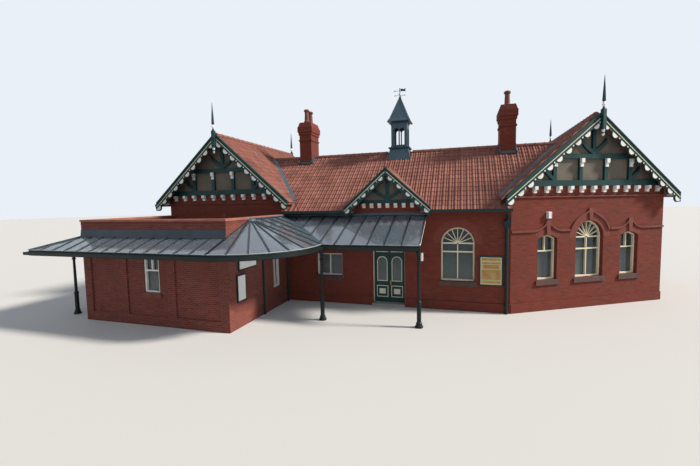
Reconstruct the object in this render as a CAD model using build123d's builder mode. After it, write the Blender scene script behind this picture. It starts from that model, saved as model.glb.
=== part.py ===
from build123d import *
import os
from math import atan, cos, degrees, pi, radians, sin

os.makedirs("parts", exist_ok=True)

# Walls, in millimetres
wall_t = 400
plinth_h = 380
plinth_out = 45
floor_t = 100
main_half = 5050
main_depth = 7300
wing_w = 6750
skew = 30
right_extra = 2100

# Roofs: tile tops at the eaves and ridges, and how far they oversail
roof_t = 150
main_eave_out = 370
main_eave_z = 4350
main_ridge_z = 7300
wing_eave_out = 420
wing_eave_z = 4800
wing_ridge_z = 8150
verge_out = 500
skew_verge_out = 300
gable_half = 1470
gable_roof_half = 1900
gable_eave_z = 4400
gable_ridge_z = 6120
gable_verge_out = 430
gable_roof_t = 130

# Worked out from the values above
main_mid = main_depth / 2
main_slope = (main_ridge_z - main_eave_z) / (main_mid + main_eave_out)
main_wall_z = main_eave_z - roof_t + main_slope * main_eave_out
wing_half = wing_w / 2
wing_roof_half = wing_half + wing_eave_out
wing_slope = (wing_ridge_z - wing_eave_z) / wing_roof_half
wing_wall_z = wing_ridge_z - roof_t - wing_slope * wing_half
left_x0 = -main_half - wing_w
right_x1 = main_half + wing_w
left_mid = -main_half - wing_half
right_mid = main_half + wing_half
right_rear = main_depth + right_extra
skew_len = wing_w / cos(radians(skew))
skew_back = wing_w * sin(radians(skew)) / cos(radians(skew))
gable_slope = (gable_ridge_z - gable_eave_z) / gable_roof_half
gable_wall_z = gable_ridge_z - gable_roof_t - gable_slope * gable_half

# Gable fronts of the wings
brick_top_z = 5190
panel_back = 40
panel_t = 250
timber_out = 60
bressumer_h = 240
mid_rail_z = 6330
mid_rail_h = 190
stud_w = 160
board_top = 40
board_h = 400
board_t = 60
lobe_r = 185
lobe_count = 10
small_board_h = 300
small_lobe_r = 150
small_lobe_count = 5
scallop_t = 15
scallop_rim = 38
corbel_w = 150
corbel_h = 270
corbel_out = 180
console_h = 340
post_w = 150

# Windows
frame_back = 170
frame_depth = 90
frame_w = 65
bar_w = 40
glass_t = 12
arch_w = 1370
arch_sill = 1250
arch_top = 3550
wide_w = 1280
wide_mid = -2810
wide_sill = 1280
wide_top = 2330
wing_arch_w = 1420
wing_arch_top = 3730
side_w = 950
side_top = 3180
side_rise = 150
wing_sill = 1290
side_off = 2110
sill_h = 200
sill_out = 60
sill_over = 90

# Entrance
door_w = 1480
door_top = 3600
door_back = 290
leaf_t = 50
jamb_w = 70
step_h = 100
leaf_gap = 5
leaf_foot = 10
transom_z = 2260
transom_h = 110
barrel_r = 12
pin_gap = 0.3

# Low building in front of the left wing
low_len = 6970
low_x1 = 140 - main_half
low_x0 = low_x1 - low_len
low_y = -4850
low_t = 300
low_top = 4100
low_coping_h = 80
low_roof_z = 3750
pilaster_w = 380
pilaster_out = 60
low_win_mid = low_x1 - 3520
low_win_w = 740
low_win_sill = 1310
low_win_top = 2690
low_side_mid = -1200
low_side_w = 700
low_side_sill = 900
low_side_top = 2430
low_frame_back = 110

# Glazed canopy
can_z = 3050
can_slope = 0.38
cone_r = 2760
cone_y = -3250
main_can_d = 2600
main_can_x = 1700
left_can_x = low_x0 - 1320
can_glass_t = 16
rafter_w = 45
rafter_h = 70
rafter_gap = 650
cone_panes = 6
beam_w = 80
beam_h = 200
gutter_w = 130
gutter_h = 120
post_r = 60


# Plane of an outside wall face: local x along the wall, local y up, normal outwards
def face_plane(x, y, turn=0.0):
    t = radians(turn)
    return Plane(origin=(x, y, 0), x_dir=(cos(t), sin(t), 0), z_dir=(sin(t), -cos(t), 0))


def outline(*points):
    with BuildSketch() as shape:
        with BuildLine():
            Polyline(*points, close=True)
        make_face()
    return shape.sketch


def arched(mid, width, foot, top, rise):
    with BuildSketch() as shape:
        with BuildLine():
            Polyline((mid - width / 2, top - rise), (mid - width / 2, foot),
                     (mid + width / 2, foot), (mid + width / 2, top - rise))
            ThreePointArc((mid + width / 2, top - rise), (mid, top), (mid - width / 2, top - rise))
        make_face()
    return shape.sketch


# Section of a pitched roof slab across its ridge
def chevron(mid, half, eave_z, ridge_z, thick):
    return outline((mid - half, eave_z), (mid, ridge_z), (mid + half, eave_z),
                   (mid + half, eave_z - thick), (mid, ridge_z - thick), (mid - half, eave_z - thick))


# Everything under a roof's upper face, stepped in to the walls below the eaves
def under_roof(mid, half, wall_half, eave_z, ridge_z, thick, wall_z):
    return outline((mid - half, eave_z), (mid, ridge_z), (mid + half, eave_z),
                   (mid + half, eave_z - thick), (mid + wall_half, wall_z), (mid + wall_half, -1000),
                   (mid - wall_half, -1000), (mid - wall_half, wall_z), (mid - half, eave_z - thick))


front_face = face_plane(0, 0)
rear_face = face_plane(0, main_depth, 180)
left_side_face = face_plane(left_x0, 0, -90)
right_side_face = face_plane(right_x1, 0, 90)
skew_face = face_plane(main_half, 0, skew)
left_gable_face = face_plane(left_mid, 0)
left_rear_face = face_plane(left_mid, main_depth, 180)
right_rear_face = face_plane(right_mid, right_rear, 180)
skew_gable_face = face_plane(right_mid, skew_back / 2, skew)
low_front_face = face_plane(0, low_y)
low_side_face = face_plane(low_x1, 0, 90)
skew_slope = wing_slope * cos(radians(skew))

# Volumes that shape the pieces below, not pieces themselves
with BuildPart() as left_wing_space:
    with BuildSketch(face_plane(0, -3000)):
        add(under_roof(left_mid, wing_roof_half, wing_half, wing_eave_z, wing_ridge_z, roof_t, wing_wall_z))
    extrude(amount=-20000)

with BuildPart() as right_wing_space:
    with BuildSketch(face_plane(0, -3000)):
        add(under_roof(right_mid, wing_roof_half, wing_half, wing_eave_z, wing_ridge_z, roof_t, wing_wall_z))
    extrude(amount=-20000)

with BuildPart() as gable_space:
    with BuildSketch(face_plane(0, -3000)):
        add(under_roof(0, gable_roof_half, gable_half, gable_eave_z, gable_ridge_z, gable_roof_t,
                       gable_wall_z))
    extrude(amount=-(3000 + main_mid))

with BuildPart() as main_space:
    with BuildSketch(face_plane(-main_half - wing_w, 0, 90)):
        add(outline((-main_eave_out, main_eave_z), (main_mid, main_ridge_z),
                    (main_depth + main_eave_out, main_eave_z), (main_depth + main_eave_out, 0),
                    (-main_eave_out, 0)))
    extrude(amount=2 * (main_half + wing_w))

with BuildPart() as right_envelope:
    with BuildSketch(face_plane(0, -3000)):
        add(outline((main_half, 0), (right_x1, 0), (right_x1, wing_wall_z),
                    (right_mid, wing_ridge_z - roof_t), (main_half, wing_wall_z)))
    extrude(amount=-20000)


# Windows as (middle, width, foot, top, rise) along each wall
main_arch = (2975, arch_w, arch_sill, arch_top, arch_w / 2)
rear_arches = [(x, arch_w, arch_sill, arch_top, arch_w / 2) for x in (-2975, 0, 2975)]


def gable_windows(mid):
    return [(mid - side_off, side_w, wing_sill, side_top, side_rise),
            (mid, wing_arch_w, wing_sill, wing_arch_top, wing_arch_w / 2),
            (mid + side_off, side_w, wing_sill, side_top, side_rise)]


left_side_windows = [(-y, side_w, wing_sill, side_top, side_rise) for y in (2100, 5200)]
right_side_windows = [(y, side_w, wing_sill, side_top, side_rise) for y in (5600, 7700)]
skew_win_mid = -50
skew_windows = gable_windows(skew_win_mid)
rear_gable_windows = gable_windows(0)
low_window = (low_win_mid, low_win_w, low_win_sill, low_win_top, 1)
low_side_window = (low_side_mid, low_side_w, low_side_sill, low_side_top, 1)

# Floor: middle and left together, right wing, low building
seam = 1
with BuildPart() as floor_slab:
    with BuildSketch():
        with Locations(((left_x0 + wall_t + main_half) / 2, main_mid)):
            Rectangle(main_half - left_x0 - wall_t, main_depth - 2 * wall_t)
        with BuildLine():
            Polyline((main_half + seam, wall_t / cos(radians(skew)) + seam),
                     (right_x1 - wall_t, skew_back - wall_t * sin(radians(skew)) / cos(radians(skew))
                      + wall_t / cos(radians(skew))),
                     (right_x1 - wall_t, right_rear - wall_t), (main_half + wall_t, right_rear - wall_t),
                     (main_half + wall_t, main_depth - wall_t), (main_half + seam, main_depth - wall_t),
                     close=True)
        make_face()
        with Locations(((low_x0 + low_x1) / 2, (low_y + low_t) / 2)):
            Rectangle(low_x1 - low_x0 - 2 * low_t, -low_y - low_t)
    extrude(amount=floor_t)
floor_slab.part.label = "floor_slab"
export_step(floor_slab.part, "parts/floor_slab.step")

# Front wall of the middle range, in three pieces round the entrance
with BuildPart() as front_wall_left:
    with BuildSketch(front_face):
        with Locations((-(main_half + door_w / 2) / 2, main_wall_z / 2)):
            Rectangle(main_half - door_w / 2, main_wall_z)
        with Locations((wide_mid, (wide_sill + wide_top) / 2)):
            Rectangle(wide_w, wide_top - wide_sill, mode=Mode.SUBTRACT)
    extrude(amount=-wall_t)
    with BuildSketch(front_face):
        with Locations((-(-low_x1 + door_w / 2) / 2, plinth_h / 2)):
            Rectangle(-low_x1 - door_w / 2, plinth_h)
    extrude(amount=plinth_out)
front_wall_left.part.label = "front_wall_left"
export_step(front_wall_left.part, "parts/front_wall_left.step")

with BuildPart() as front_wall_right:
    with BuildSketch(front_face):
        with Locations(((main_half + door_w / 2) / 2, main_wall_z / 2)):
            Rectangle(main_half - door_w / 2, main_wall_z)
        add(arched(*main_arch), mode=Mode.SUBTRACT)
    extrude(amount=-wall_t)
    with BuildSketch(front_face):
        with Locations(((main_half + door_w / 2) / 2, plinth_h / 2)):
            Rectangle(main_half - door_w / 2, plinth_h)
    extrude(amount=plinth_out)
front_wall_right.part.label = "front_wall_right"
export_step(front_wall_right.part, "parts/front_wall_right.step")

with BuildPart() as front_wall_over_door:
    with BuildSketch(front_face):
        with Locations((0, (main_wall_z + door_top - door_w / 2) / 2)):
            Rectangle(door_w, main_wall_z - door_top + door_w / 2)
        add(arched(0, door_w, 0, door_top, door_w / 2), mode=Mode.SUBTRACT)
    extrude(amount=-wall_t)
front_wall_over_door.part.label = "front_wall_over_door"
export_step(front_wall_over_door.part, "parts/front_wall_over_door.step")

with BuildPart() as rear_wall:
    with BuildSketch(rear_face):
        with Locations((0, main_wall_z / 2)):
            Rectangle(2 * main_half, main_wall_z)
        for window in rear_arches:
            add(arched(*window), mode=Mode.SUBTRACT)
    extrude(amount=-wall_t)
    with BuildSketch(rear_face):
        with Locations((0, plinth_h / 2)):
            Rectangle(2 * main_half, plinth_h)
    extrude(amount=plinth_out)
rear_wall.part.label = "rear_wall"
export_step(rear_wall.part, "parts/rear_wall.step")


# Brick part of a gable end, up to the foot of its panels
def gable_brick(half, slope):
    high = wing_wall_z
    inner = half - (brick_top_z - high) / slope
    return outline((-half, 0), (half, 0), (half, high), (inner, brick_top_z), (-inner, brick_top_z),
                   (-half, high))


# Left wing
with BuildPart() as left_wing_front_wall:
    with BuildSketch(left_gable_face):
        add(gable_brick(wing_half, wing_slope))
    extrude(amount=-wall_t)
left_wing_front_wall.part.label = "left_wing_front_wall"
export_step(left_wing_front_wall.part, "parts/left_wing_front_wall.step")

with BuildPart() as left_wing_rear_wall:
    with BuildSketch(left_rear_face):
        add(gable_brick(wing_half, wing_slope))
        for window in rear_gable_windows:
            add(arched(*window), mode=Mode.SUBTRACT)
    extrude(amount=-wall_t)
    with BuildSketch(left_rear_face):
        with Locations((0, plinth_h / 2)):
            Rectangle(wing_w, plinth_h)
    extrude(amount=plinth_out)
left_wing_rear_wall.part.label = "left_wing_rear_wall"
export_step(left_wing_rear_wall.part, "parts/left_wing_rear_wall.step")

with BuildPart() as left_wing_side_wall:
    with BuildSketch(left_side_face):
        with Locations((-main_mid, wing_wall_z / 2)):
            Rectangle(main_depth - 2 * wall_t, wing_wall_z)
        for window in left_side_windows:
            add(arched(*window), mode=Mode.SUBTRACT)
    extrude(amount=-wall_t)
    with BuildSketch(left_side_face):
        with Locations((-main_mid, plinth_h / 2)):
            Rectangle(main_depth, plinth_h)
    extrude(amount=plinth_out)
left_wing_side_wall.part.label = "left_wing_side_wall"
export_step(left_wing_side_wall.part, "parts/left_wing_side_wall.step")

# Right wing, whose front is turned from the main front
with BuildPart() as right_wing_front_wall:
    with BuildSketch(skew_gable_face):
        with Locations((0, brick_top_z / 2)):
            Rectangle(skew_len + 2 * wall_t, brick_top_z)
        for window in skew_windows:
            add(arched(*window), mode=Mode.SUBTRACT)
    extrude(amount=-wall_t)
    add(right_envelope.part, mode=Mode.INTERSECT)
    with BuildSketch(skew_gable_face):
        with Locations((0, plinth_h / 2)):
            Rectangle(skew_len, plinth_h)
    extrude(amount=plinth_out)
right_wing_front_wall.part.label = "right_wing_front_wall"
export_step(right_wing_front_wall.part, "parts/right_wing_front_wall.step")

with BuildPart() as right_wing_side_wall:
    with BuildSketch(right_side_face):
        with Locations(((right_rear - wall_t) / 2, wing_wall_z / 2)):
            Rectangle(right_rear - wall_t, wing_wall_z)
        for window in right_side_windows:
            add(arched(*window), mode=Mode.SUBTRACT)
    extrude(amount=-wall_t)
    split(bisect_by=skew_face.offset(-wall_t), keep=Keep.BOTTOM)
right_wing_side_wall.part.label = "right_wing_side_wall"
export_step(right_wing_side_wall.part, "parts/right_wing_side_wall.step")

with BuildPart() as right_wing_rear_wall:
    with BuildSketch(right_rear_face):
        add(gable_brick(wing_half, wing_slope))
        for window in rear_gable_windows:
            add(arched(*window), mode=Mode.SUBTRACT)
    extrude(amount=-wall_t)
    with BuildSketch(right_rear_face):
        with Locations((0, plinth_h / 2)):
            Rectangle(wing_w, plinth_h)
    extrude(amount=plinth_out)
right_wing_rear_wall.part.label = "right_wing_rear_wall"
export_step(right_wing_rear_wall.part, "parts/right_wing_rear_wall.step")

with BuildPart() as right_wing_return_wall:
    with BuildSketch(face_plane(main_half, 0, -90)):
        with Locations((-(main_depth - wall_t + right_rear - wall_t) / 2, wing_wall_z / 2)):
            Rectangle(right_extra, wing_wall_z)
    extrude(amount=-wall_t)
right_wing_return_wall.part.label = "right_wing_return_wall"
export_step(right_wing_return_wall.part, "parts/right_wing_return_wall.step")

# Small gable over the entrance
gable_base_z = main_wall_z
with BuildPart() as entrance_gable_wall:
    with BuildSketch(front_face):
        add(outline((-gable_half, gable_base_z), (gable_half, gable_base_z), (gable_half, gable_wall_z),
                    (0, gable_ridge_z - gable_roof_t), (-gable_half, gable_wall_z)))
    extrude(amount=-wall_t)
entrance_gable_wall.part.label = "entrance_gable_wall"
export_step(entrance_gable_wall.part, "parts/entrance_gable_wall.step")

# Rendered panels of the wing gables
panel_half = (wing_ridge_z - roof_t - brick_top_z) / wing_slope
with BuildPart() as gable_panels:
    with BuildSketch(skew_gable_face.offset(-panel_back)):
        with Locations((0, (brick_top_z + wing_ridge_z) / 2)):
            Rectangle(skew_len + 2 * wall_t, wing_ridge_z - brick_top_z)
    extrude(amount=-panel_t)
    add(right_envelope.part, mode=Mode.INTERSECT)
    for plane in (left_gable_face, left_rear_face, right_rear_face):
        with BuildSketch(plane.offset(-panel_back)):
            add(outline((-panel_half, brick_top_z), (panel_half, brick_top_z),
                        (0, wing_ridge_z - roof_t)))
        extrude(amount=-panel_t)
gable_panels.part.label = "gable_panels"
export_step(gable_panels.part, "parts/gable_panels.step")


# Middles of the four studs of a gable
def stud_places(slope, clear):
    step = (wing_ridge_z - roof_t - clear - mid_rail_z) / slope * 2 / 3.3
    return [step * i for i in (-1.5, -0.5, 0.5, 1.5)]


# A curved brace from its foot to its head, sagging by bow
def brace(x0, z0, x1, z1, bow, wide):
    with BuildSketch() as shape:
        with BuildLine():
            ThreePointArc((x0, z0), ((x0 + x1) / 2, (z0 + z1) / 2 - bow), (x1, z1))
            Line((x1, z1), (x1, z1 + wide))
            ThreePointArc((x1, z1 + wide), ((x0 + x1) / 2, (z0 + z1) / 2 - bow + wide), (x0, z0 + wide))
            Line((x0, z0 + wide), (x0, z0))
        make_face()
    return shape.sketch


# Timber framing drawn on a gable: rail, studs, mid rail, king post and braces
def gable_timbers(slope, clear):
    apex = wing_ridge_z - roof_t - clear
    foot_half = (apex - brick_top_z) / slope
    rail_half = (apex - mid_rail_z - mid_rail_h) / slope
    studs = stud_places(slope, clear)
    rail_top = brick_top_z + bressumer_h
    with BuildSketch() as shape:
        with BuildLine():
            Polyline((-foot_half, brick_top_z), (foot_half, brick_top_z),
                     (foot_half - bressumer_h / slope, rail_top),
                     (-foot_half + bressumer_h / slope, rail_top), close=True)
        make_face()
        with Locations((0, mid_rail_z + mid_rail_h / 2)):
            Rectangle(2 * rail_half, mid_rail_h)
        with Locations(*[(x, (rail_top + mid_rail_z) / 2) for x in studs]):
            Rectangle(stud_w, mid_rail_z - rail_top + 2)
        with Locations((0, (mid_rail_z + apex - 200) / 2)):
            Rectangle(stud_w, apex - 200 - mid_rail_z)
        for side in (-1, 1):
            add(brace(side * 20, mid_rail_z + mid_rail_h - 20, side * 640,
                      mid_rail_z + mid_rail_h + 470, 60, 200))
            add(brace(side * (studs[3] + stud_w / 2 - 20), rail_top - 20, side * (studs[3] + 500),
                      rail_top + 400, 40, 170))
        add(outline((-foot_half, brick_top_z), (foot_half, brick_top_z), (0, apex)), mode=Mode.INTERSECT)
    return shape.sketch


small_rail_z = 4620
small_rail_h = 150
small_apex = gable_ridge_z - gable_roof_t
with BuildPart() as gable_timbers_all:
    for plane, slope, clear in ((left_gable_face, wing_slope, 0), (skew_gable_face, skew_slope, 60),
                                (left_rear_face, wing_slope, 0), (right_rear_face, wing_slope, 0)):
        with BuildSketch(plane.offset(-panel_back)):
            add(gable_timbers(slope, clear))
        extrude(amount=panel_back + timber_out)
    with BuildSketch(front_face):
        small_half = (small_apex - small_rail_z - small_rail_h) / gable_slope
        small_foot = (small_apex - small_rail_z) / gable_slope
        with Locations((0, small_rail_z + small_rail_h / 2)):
            Rectangle(2 * small_half, small_rail_h)
        with Locations((0, (small_rail_z + small_apex - 250) / 2)):
            Rectangle(stud_w, small_apex - 250 - small_rail_z)
        for side in (-1, 1):
            add(brace(side * 20, small_rail_z + small_rail_h - 20, side * 700, 5180, 40, 190))
        add(outline((-small_foot, small_rail_z), (small_foot, small_rail_z), (0, small_apex)),
            mode=Mode.INTERSECT)
    extrude(amount=timber_out)
gable_timbers_all.part.label = "gable_timbers"
export_step(gable_timbers_all.part, "parts/gable_timbers.step")


# Bargeboards with a lobed lower edge
def bargeboard(half, slope, ridge, height, lobes, radius):
    drop = height - 40
    step = half / lobes
    with BuildSketch() as shape:
        with BuildLine():
            Polyline((-half, ridge - slope * half), (0, ridge), (half, ridge - slope * half),
                     (half, ridge - slope * half - height), (0, ridge - height),
                     (-half, ridge - slope * half - height), close=True)
        make_face()
        for side in (-1, 1):
            with Locations(*[(side * step * (i + 0.6), ridge - slope * step * (i + 0.6) - drop)
                             for i in range(lobes)]):
                Circle(radius)
    return shape.sketch


def scallops(half, slope, ridge, height, lobes, radius):
    drop = height - 40
    step = half / lobes
    tilt = degrees(atan(slope))
    with BuildSketch() as lobe:
        Circle(radius - scallop_rim)
        Rectangle(2 * radius, radius, align=(Align.CENTER, Align.MIN), mode=Mode.SUBTRACT)
    with BuildSketch() as shape:
        for side in (-1, 1):
            for i in range(lobes):
                along = side * step * (i + 0.6)
                with Locations(Location((along, ridge - abs(along) * slope - drop), -side * tilt)):
                    add(lobe.sketch)
    return shape.sketch


wing_gables = [(left_gable_face, verge_out, wing_roof_half, wing_slope),
               (skew_gable_face, skew_verge_out, wing_roof_half / cos(radians(skew)), skew_slope),
               (left_rear_face, verge_out, wing_roof_half, wing_slope),
               (right_rear_face, verge_out, wing_roof_half, wing_slope)]
with BuildPart() as bargeboards:
    for plane, out, half, slope in wing_gables:
        with BuildSketch(plane.offset(out)):
            add(bargeboard(half, slope, wing_ridge_z + board_top, board_h, lobe_count, lobe_r))
            with Locations((0, wing_ridge_z)):
                Rectangle(seam, 2 * board_h + 100, mode=Mode.SUBTRACT)
        extrude(amount=board_t)
    with BuildSketch(front_face.offset(gable_verge_out)):
        add(bargeboard(gable_roof_half, gable_slope, gable_ridge_z + board_top, small_board_h,
                       small_lobe_count, small_lobe_r))
        with Locations((0, gable_ridge_z)):
            Rectangle(seam, 2 * board_h + 100, mode=Mode.SUBTRACT)
    extrude(amount=board_t)
bargeboards.part.label = "bargeboards"
export_step(bargeboards.part, "parts/bargeboards.step")

with BuildPart() as bargeboard_scallops:
    for plane, out, half, slope in wing_gables:
        with BuildSketch(plane.offset(out + board_t)):
            add(scallops(half, slope, wing_ridge_z + board_top, board_h, lobe_count, lobe_r))
        extrude(amount=scallop_t)
    with BuildSketch(front_face.offset(gable_verge_out + board_t)):
        add(scallops(gable_roof_half, gable_slope, gable_ridge_z + board_top, small_board_h,
                     small_lobe_count, small_lobe_r))
    extrude(amount=scallop_t)
bargeboard_scallops.part.label = "bargeboard_scallops"
export_step(bargeboard_scallops.part, "parts/bargeboard_scallops.step")

# White corbels under the timber framing, and consoles at the heads of its studs
with BuildPart() as gable_corbels:
    for plane, half, count, slope, clear in (
        (left_gable_face, wing_half, 11, wing_slope, 0), (skew_gable_face, skew_len / 2, 13, skew_slope, 60),
        (left_rear_face, wing_half, 11, wing_slope, 0), (right_rear_face, wing_half, 11, wing_slope, 0),
    ):
        step = 2 * (half - 450) / (count - 1)
        for height, out in ((corbel_h, corbel_out / 2), (corbel_h / 2, corbel_out)):
            with BuildSketch(plane):
                with Locations((0, brick_top_z - height / 2)):
                    with GridLocations(step, 0, count, 1):
                        Rectangle(corbel_w, height)
            extrude(amount=out)
        for height, out in ((console_h, 50), (console_h / 2, 110)):
            with BuildSketch(plane.offset(timber_out)):
                with Locations(*[(x, mid_rail_z - height / 2) for x in stud_places(slope, clear)]):
                    Rectangle(corbel_w, height)
            extrude(amount=out)
    for height, out in ((200, 60), (110, 110)):
        with BuildSketch(front_face):
            with Locations((0, small_rail_z - height / 2)):
                with GridLocations(360, 0, 7, 1):
                    Rectangle(corbel_w, height)
        extrude(amount=out)
gable_corbels.part.label = "gable_corbels"
export_step(gable_corbels.part, "parts/gable_corbels.step")

# Finials: a post across the bargeboards' meeting, a pendant, a turned neck and a tall spike
post_foot = wing_ridge_z - 680
post_top = wing_ridge_z + 130
neck_z = wing_ridge_z + 180
pendant_z = post_foot - 290
finial_tip_z = 9620
with BuildPart() as gable_finials:
    for plane, out, half, slope in wing_gables:
        front = plane.offset(out + board_t)
        with BuildSketch(front):
            with Locations((0, (post_foot + post_top) / 2)):
                Rectangle(post_w, post_top - post_foot)
        extrude(amount=post_w)
        axis_plane = plane.offset(out + board_t + post_w / 2)
        with BuildSketch(axis_plane):
            with BuildLine():
                Polyline((0, post_top), (70, post_top), (38, neck_z + 45), (38, neck_z + 80))
                ThreePointArc((38, neck_z + 80), (62, neck_z + 130), (38, neck_z + 180))
                Polyline((38, neck_z + 180), (38, neck_z + 245), (68, neck_z + 275),
                         (50, neck_z + 640), (8, finial_tip_z), (0, finial_tip_z), (0, post_top))
            make_face()
            with BuildLine():
                Polyline((0, post_foot), (60, post_foot), (60, post_foot - 70), (32, post_foot - 110))
                ThreePointArc((32, post_foot - 110), (58, post_foot - 190), (20, post_foot - 260))
                Polyline((20, post_foot - 260), (0, pendant_z), (0, post_foot))
            make_face()
        revolve(axis=Axis(axis_plane.origin, (0, 0, 1)), revolution_arc=360)
gable_finials.part.label = "gable_finials"
export_step(gable_finials.part, "parts/gable_finials.step")

# Troughs between the rolls of the pantiles: round cutters laid down a slope from its eaves
tile_pitch = 250
trough_r = 172
trough_depth = 42
trough_start = 100
trough_end = 80


def troughs(x, y, turn, eave_z, rise, run, width):
    wall = face_plane(x, y, turn)
    up = Vector(0, 0, rise / run) - wall.z_dir
    slope = Plane(origin=wall.origin + Vector(0, 0, eave_z), x_dir=-wall.x_dir, z_dir=up)
    with BuildPart() as cutters:
        with BuildSketch(slope.offset(-trough_start)):
            with Locations((0, trough_r - trough_depth)):
                with GridLocations(tile_pitch, 0, 2 * round(width / 2 / tile_pitch) + 1, 1):
                    Circle(trough_r)
        extrude(amount=trough_start + (rise ** 2 + run ** 2) ** 0.5 - trough_end)
    return cutters.part


# Roofs
with BuildPart() as main_roof:
    with BuildSketch(face_plane(left_mid, 0, 90)):
        add(chevron(main_mid, main_mid + main_eave_out, main_eave_z, main_ridge_z, roof_t))
    extrude(amount=right_mid - left_mid)
    for y, turn in ((-main_eave_out, 0), (main_depth + main_eave_out, 180)):
        add(troughs(0, y, turn, main_eave_z, main_ridge_z - main_eave_z, main_mid + main_eave_out,
                    right_mid - left_mid), mode=Mode.SUBTRACT)
    add(left_wing_space.part, mode=Mode.SUBTRACT)
    add(right_wing_space.part, mode=Mode.SUBTRACT)
    add(gable_space.part, mode=Mode.SUBTRACT)
    with Locations((0, main_mid, main_ridge_z)):
        Box(2 * right_mid, seam, 3 * roof_t, mode=Mode.SUBTRACT)
main_roof.part.label = "main_roof"
export_step(main_roof.part, "parts/main_roof.step")

with BuildPart() as left_wing_roof:
    with BuildSketch(face_plane(0, -verge_out)):
        add(chevron(left_mid, wing_roof_half, wing_eave_z, wing_ridge_z, roof_t))
    extrude(amount=-(main_depth + 2 * verge_out))
    for side in (-1, 1):
        add(troughs(left_mid + side * wing_roof_half, main_mid, side * 90, wing_eave_z,
                    wing_ridge_z - wing_eave_z, wing_roof_half, main_depth + 2 * verge_out),
            mode=Mode.SUBTRACT)
    with Locations((left_mid, main_mid, wing_ridge_z)):
        Box(seam, 2 * main_depth, 3 * roof_t, mode=Mode.SUBTRACT)
left_wing_roof.part.label = "left_wing_roof"
export_step(left_wing_roof.part, "parts/left_wing_roof.step")

with BuildPart() as right_wing_roof:
    with BuildSketch(face_plane(0, -3000)):
        add(chevron(right_mid, wing_roof_half, wing_eave_z, wing_ridge_z, roof_t))
    extrude(amount=-(3000 + right_rear + verge_out))
    for side in (-1, 1):
        add(troughs(right_mid + side * wing_roof_half, (right_rear + verge_out - 3000) / 2, side * 90,
                    wing_eave_z, wing_ridge_z - wing_eave_z, wing_roof_half, right_rear + verge_out + 3000),
            mode=Mode.SUBTRACT)
    split(bisect_by=skew_face.offset(skew_verge_out), keep=Keep.BOTTOM)
    with Locations((right_mid, main_mid, wing_ridge_z)):
        Box(seam, 2 * right_rear, 3 * roof_t, mode=Mode.SUBTRACT)
right_wing_roof.part.label = "right_wing_roof"
export_step(right_wing_roof.part, "parts/right_wing_roof.step")

with BuildPart() as entrance_gable_roof:
    with BuildSketch(face_plane(0, -gable_verge_out)):
        add(chevron(0, gable_roof_half, gable_eave_z, gable_ridge_z, gable_roof_t))
    extrude(amount=-(gable_verge_out + main_mid))
    for side in (-1, 1):
        add(troughs(side * gable_roof_half, (main_mid - gable_verge_out) / 2, side * 90, gable_eave_z,
                    gable_ridge_z - gable_eave_z, gable_roof_half, main_mid + gable_verge_out),
            mode=Mode.SUBTRACT)
    add(main_space.part, mode=Mode.SUBTRACT)
    with Locations((0, 0, gable_ridge_z)):
        Box(seam, 2 * main_depth, 3 * gable_roof_t, mode=Mode.SUBTRACT)
entrance_gable_roof.part.label = "entrance_gable_roof"
export_step(entrance_gable_roof.part, "parts/entrance_gable_roof.step")

# Chimneys saddled on the main ridge
chimney_x = 5220
chimney_w = 700
chimney_d = 1100
chimney_top = 9180
chimney_cap_z = 8920
with BuildPart() as chimneys:
    for x in (-chimney_x, chimney_x):
        for z0, z1, grow in ((main_ridge_z - 700, chimney_cap_z, 0), (8150, 8230, 35), (8480, 8630, 40),
                             (8630, chimney_cap_z, 80)):
            with BuildSketch(Plane(origin=(x, main_mid, z0))):
                Rectangle(chimney_w + 2 * grow, chimney_d + 2 * grow)
            extrude(amount=z1 - z0)
        for z, grow in ((chimney_cap_z, 60), (chimney_top, -20)):
            with BuildSketch(Plane(origin=(x, main_mid, z))):
                Rectangle(chimney_w + 2 * grow, chimney_d + 2 * grow)
        loft()
    add(main_space.part, mode=Mode.SUBTRACT)
chimneys.part.label = "chimneys"
export_step(chimneys.part, "parts/chimneys.step")

pot_r = 130
pot_h = 740
with BuildPart() as chimney_pots:
    for x, y in ((-chimney_x, main_mid - 260), (-chimney_x, main_mid + 260), (chimney_x, main_mid)):
        with BuildSketch(face_plane(x, y)):
            with BuildLine():
                Polyline((0, chimney_top), (pot_r + 30, chimney_top), (pot_r + 30, chimney_top + 90),
                         (pot_r, chimney_top + 140), (pot_r - 20, chimney_top + pot_h - 150),
                         (pot_r + 25, chimney_top + pot_h - 110), (pot_r + 25, chimney_top + pot_h - 50),
                         (pot_r - 15, chimney_top + pot_h), (pot_r - 45, chimney_top + pot_h),
                         (pot_r - 45, chimney_top + 300), (0, chimney_top + 300), close=True)
            make_face()
        revolve(axis=Axis((x, y, 0), (0, 0, 1)))
chimney_pots.part.label = "chimney_pots"
export_step(chimney_pots.part, "parts/chimney_pots.step")

# Cupola on the ridge
skirt_w = 1300
skirt_top_w = 900
skirt_z = 6700
skirt_top_z = 7450
ledge_w = 1060
ledge_h = 70
lantern_w = 820
lantern_top = 8820
lantern_wall = 90
cup_eave_w = 1180
cup_apex_z = 10130
with BuildPart() as cupola_base:
    with BuildSketch(Plane(origin=(0, main_mid, skirt_z))):
        Rectangle(skirt_w, skirt_w)
    with BuildSketch(Plane(origin=(0, main_mid, skirt_top_z))):
        Rectangle(skirt_top_w, skirt_top_w)
    loft()
    with BuildSketch(Plane(origin=(0, main_mid, skirt_top_z))):
        Rectangle(ledge_w, ledge_w)
    extrude(amount=ledge_h)
    add(main_space.part, mode=Mode.SUBTRACT)
cupola_base.part.label = "cupola_base"
export_step(cupola_base.part, "parts/cupola_base.step")

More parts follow.
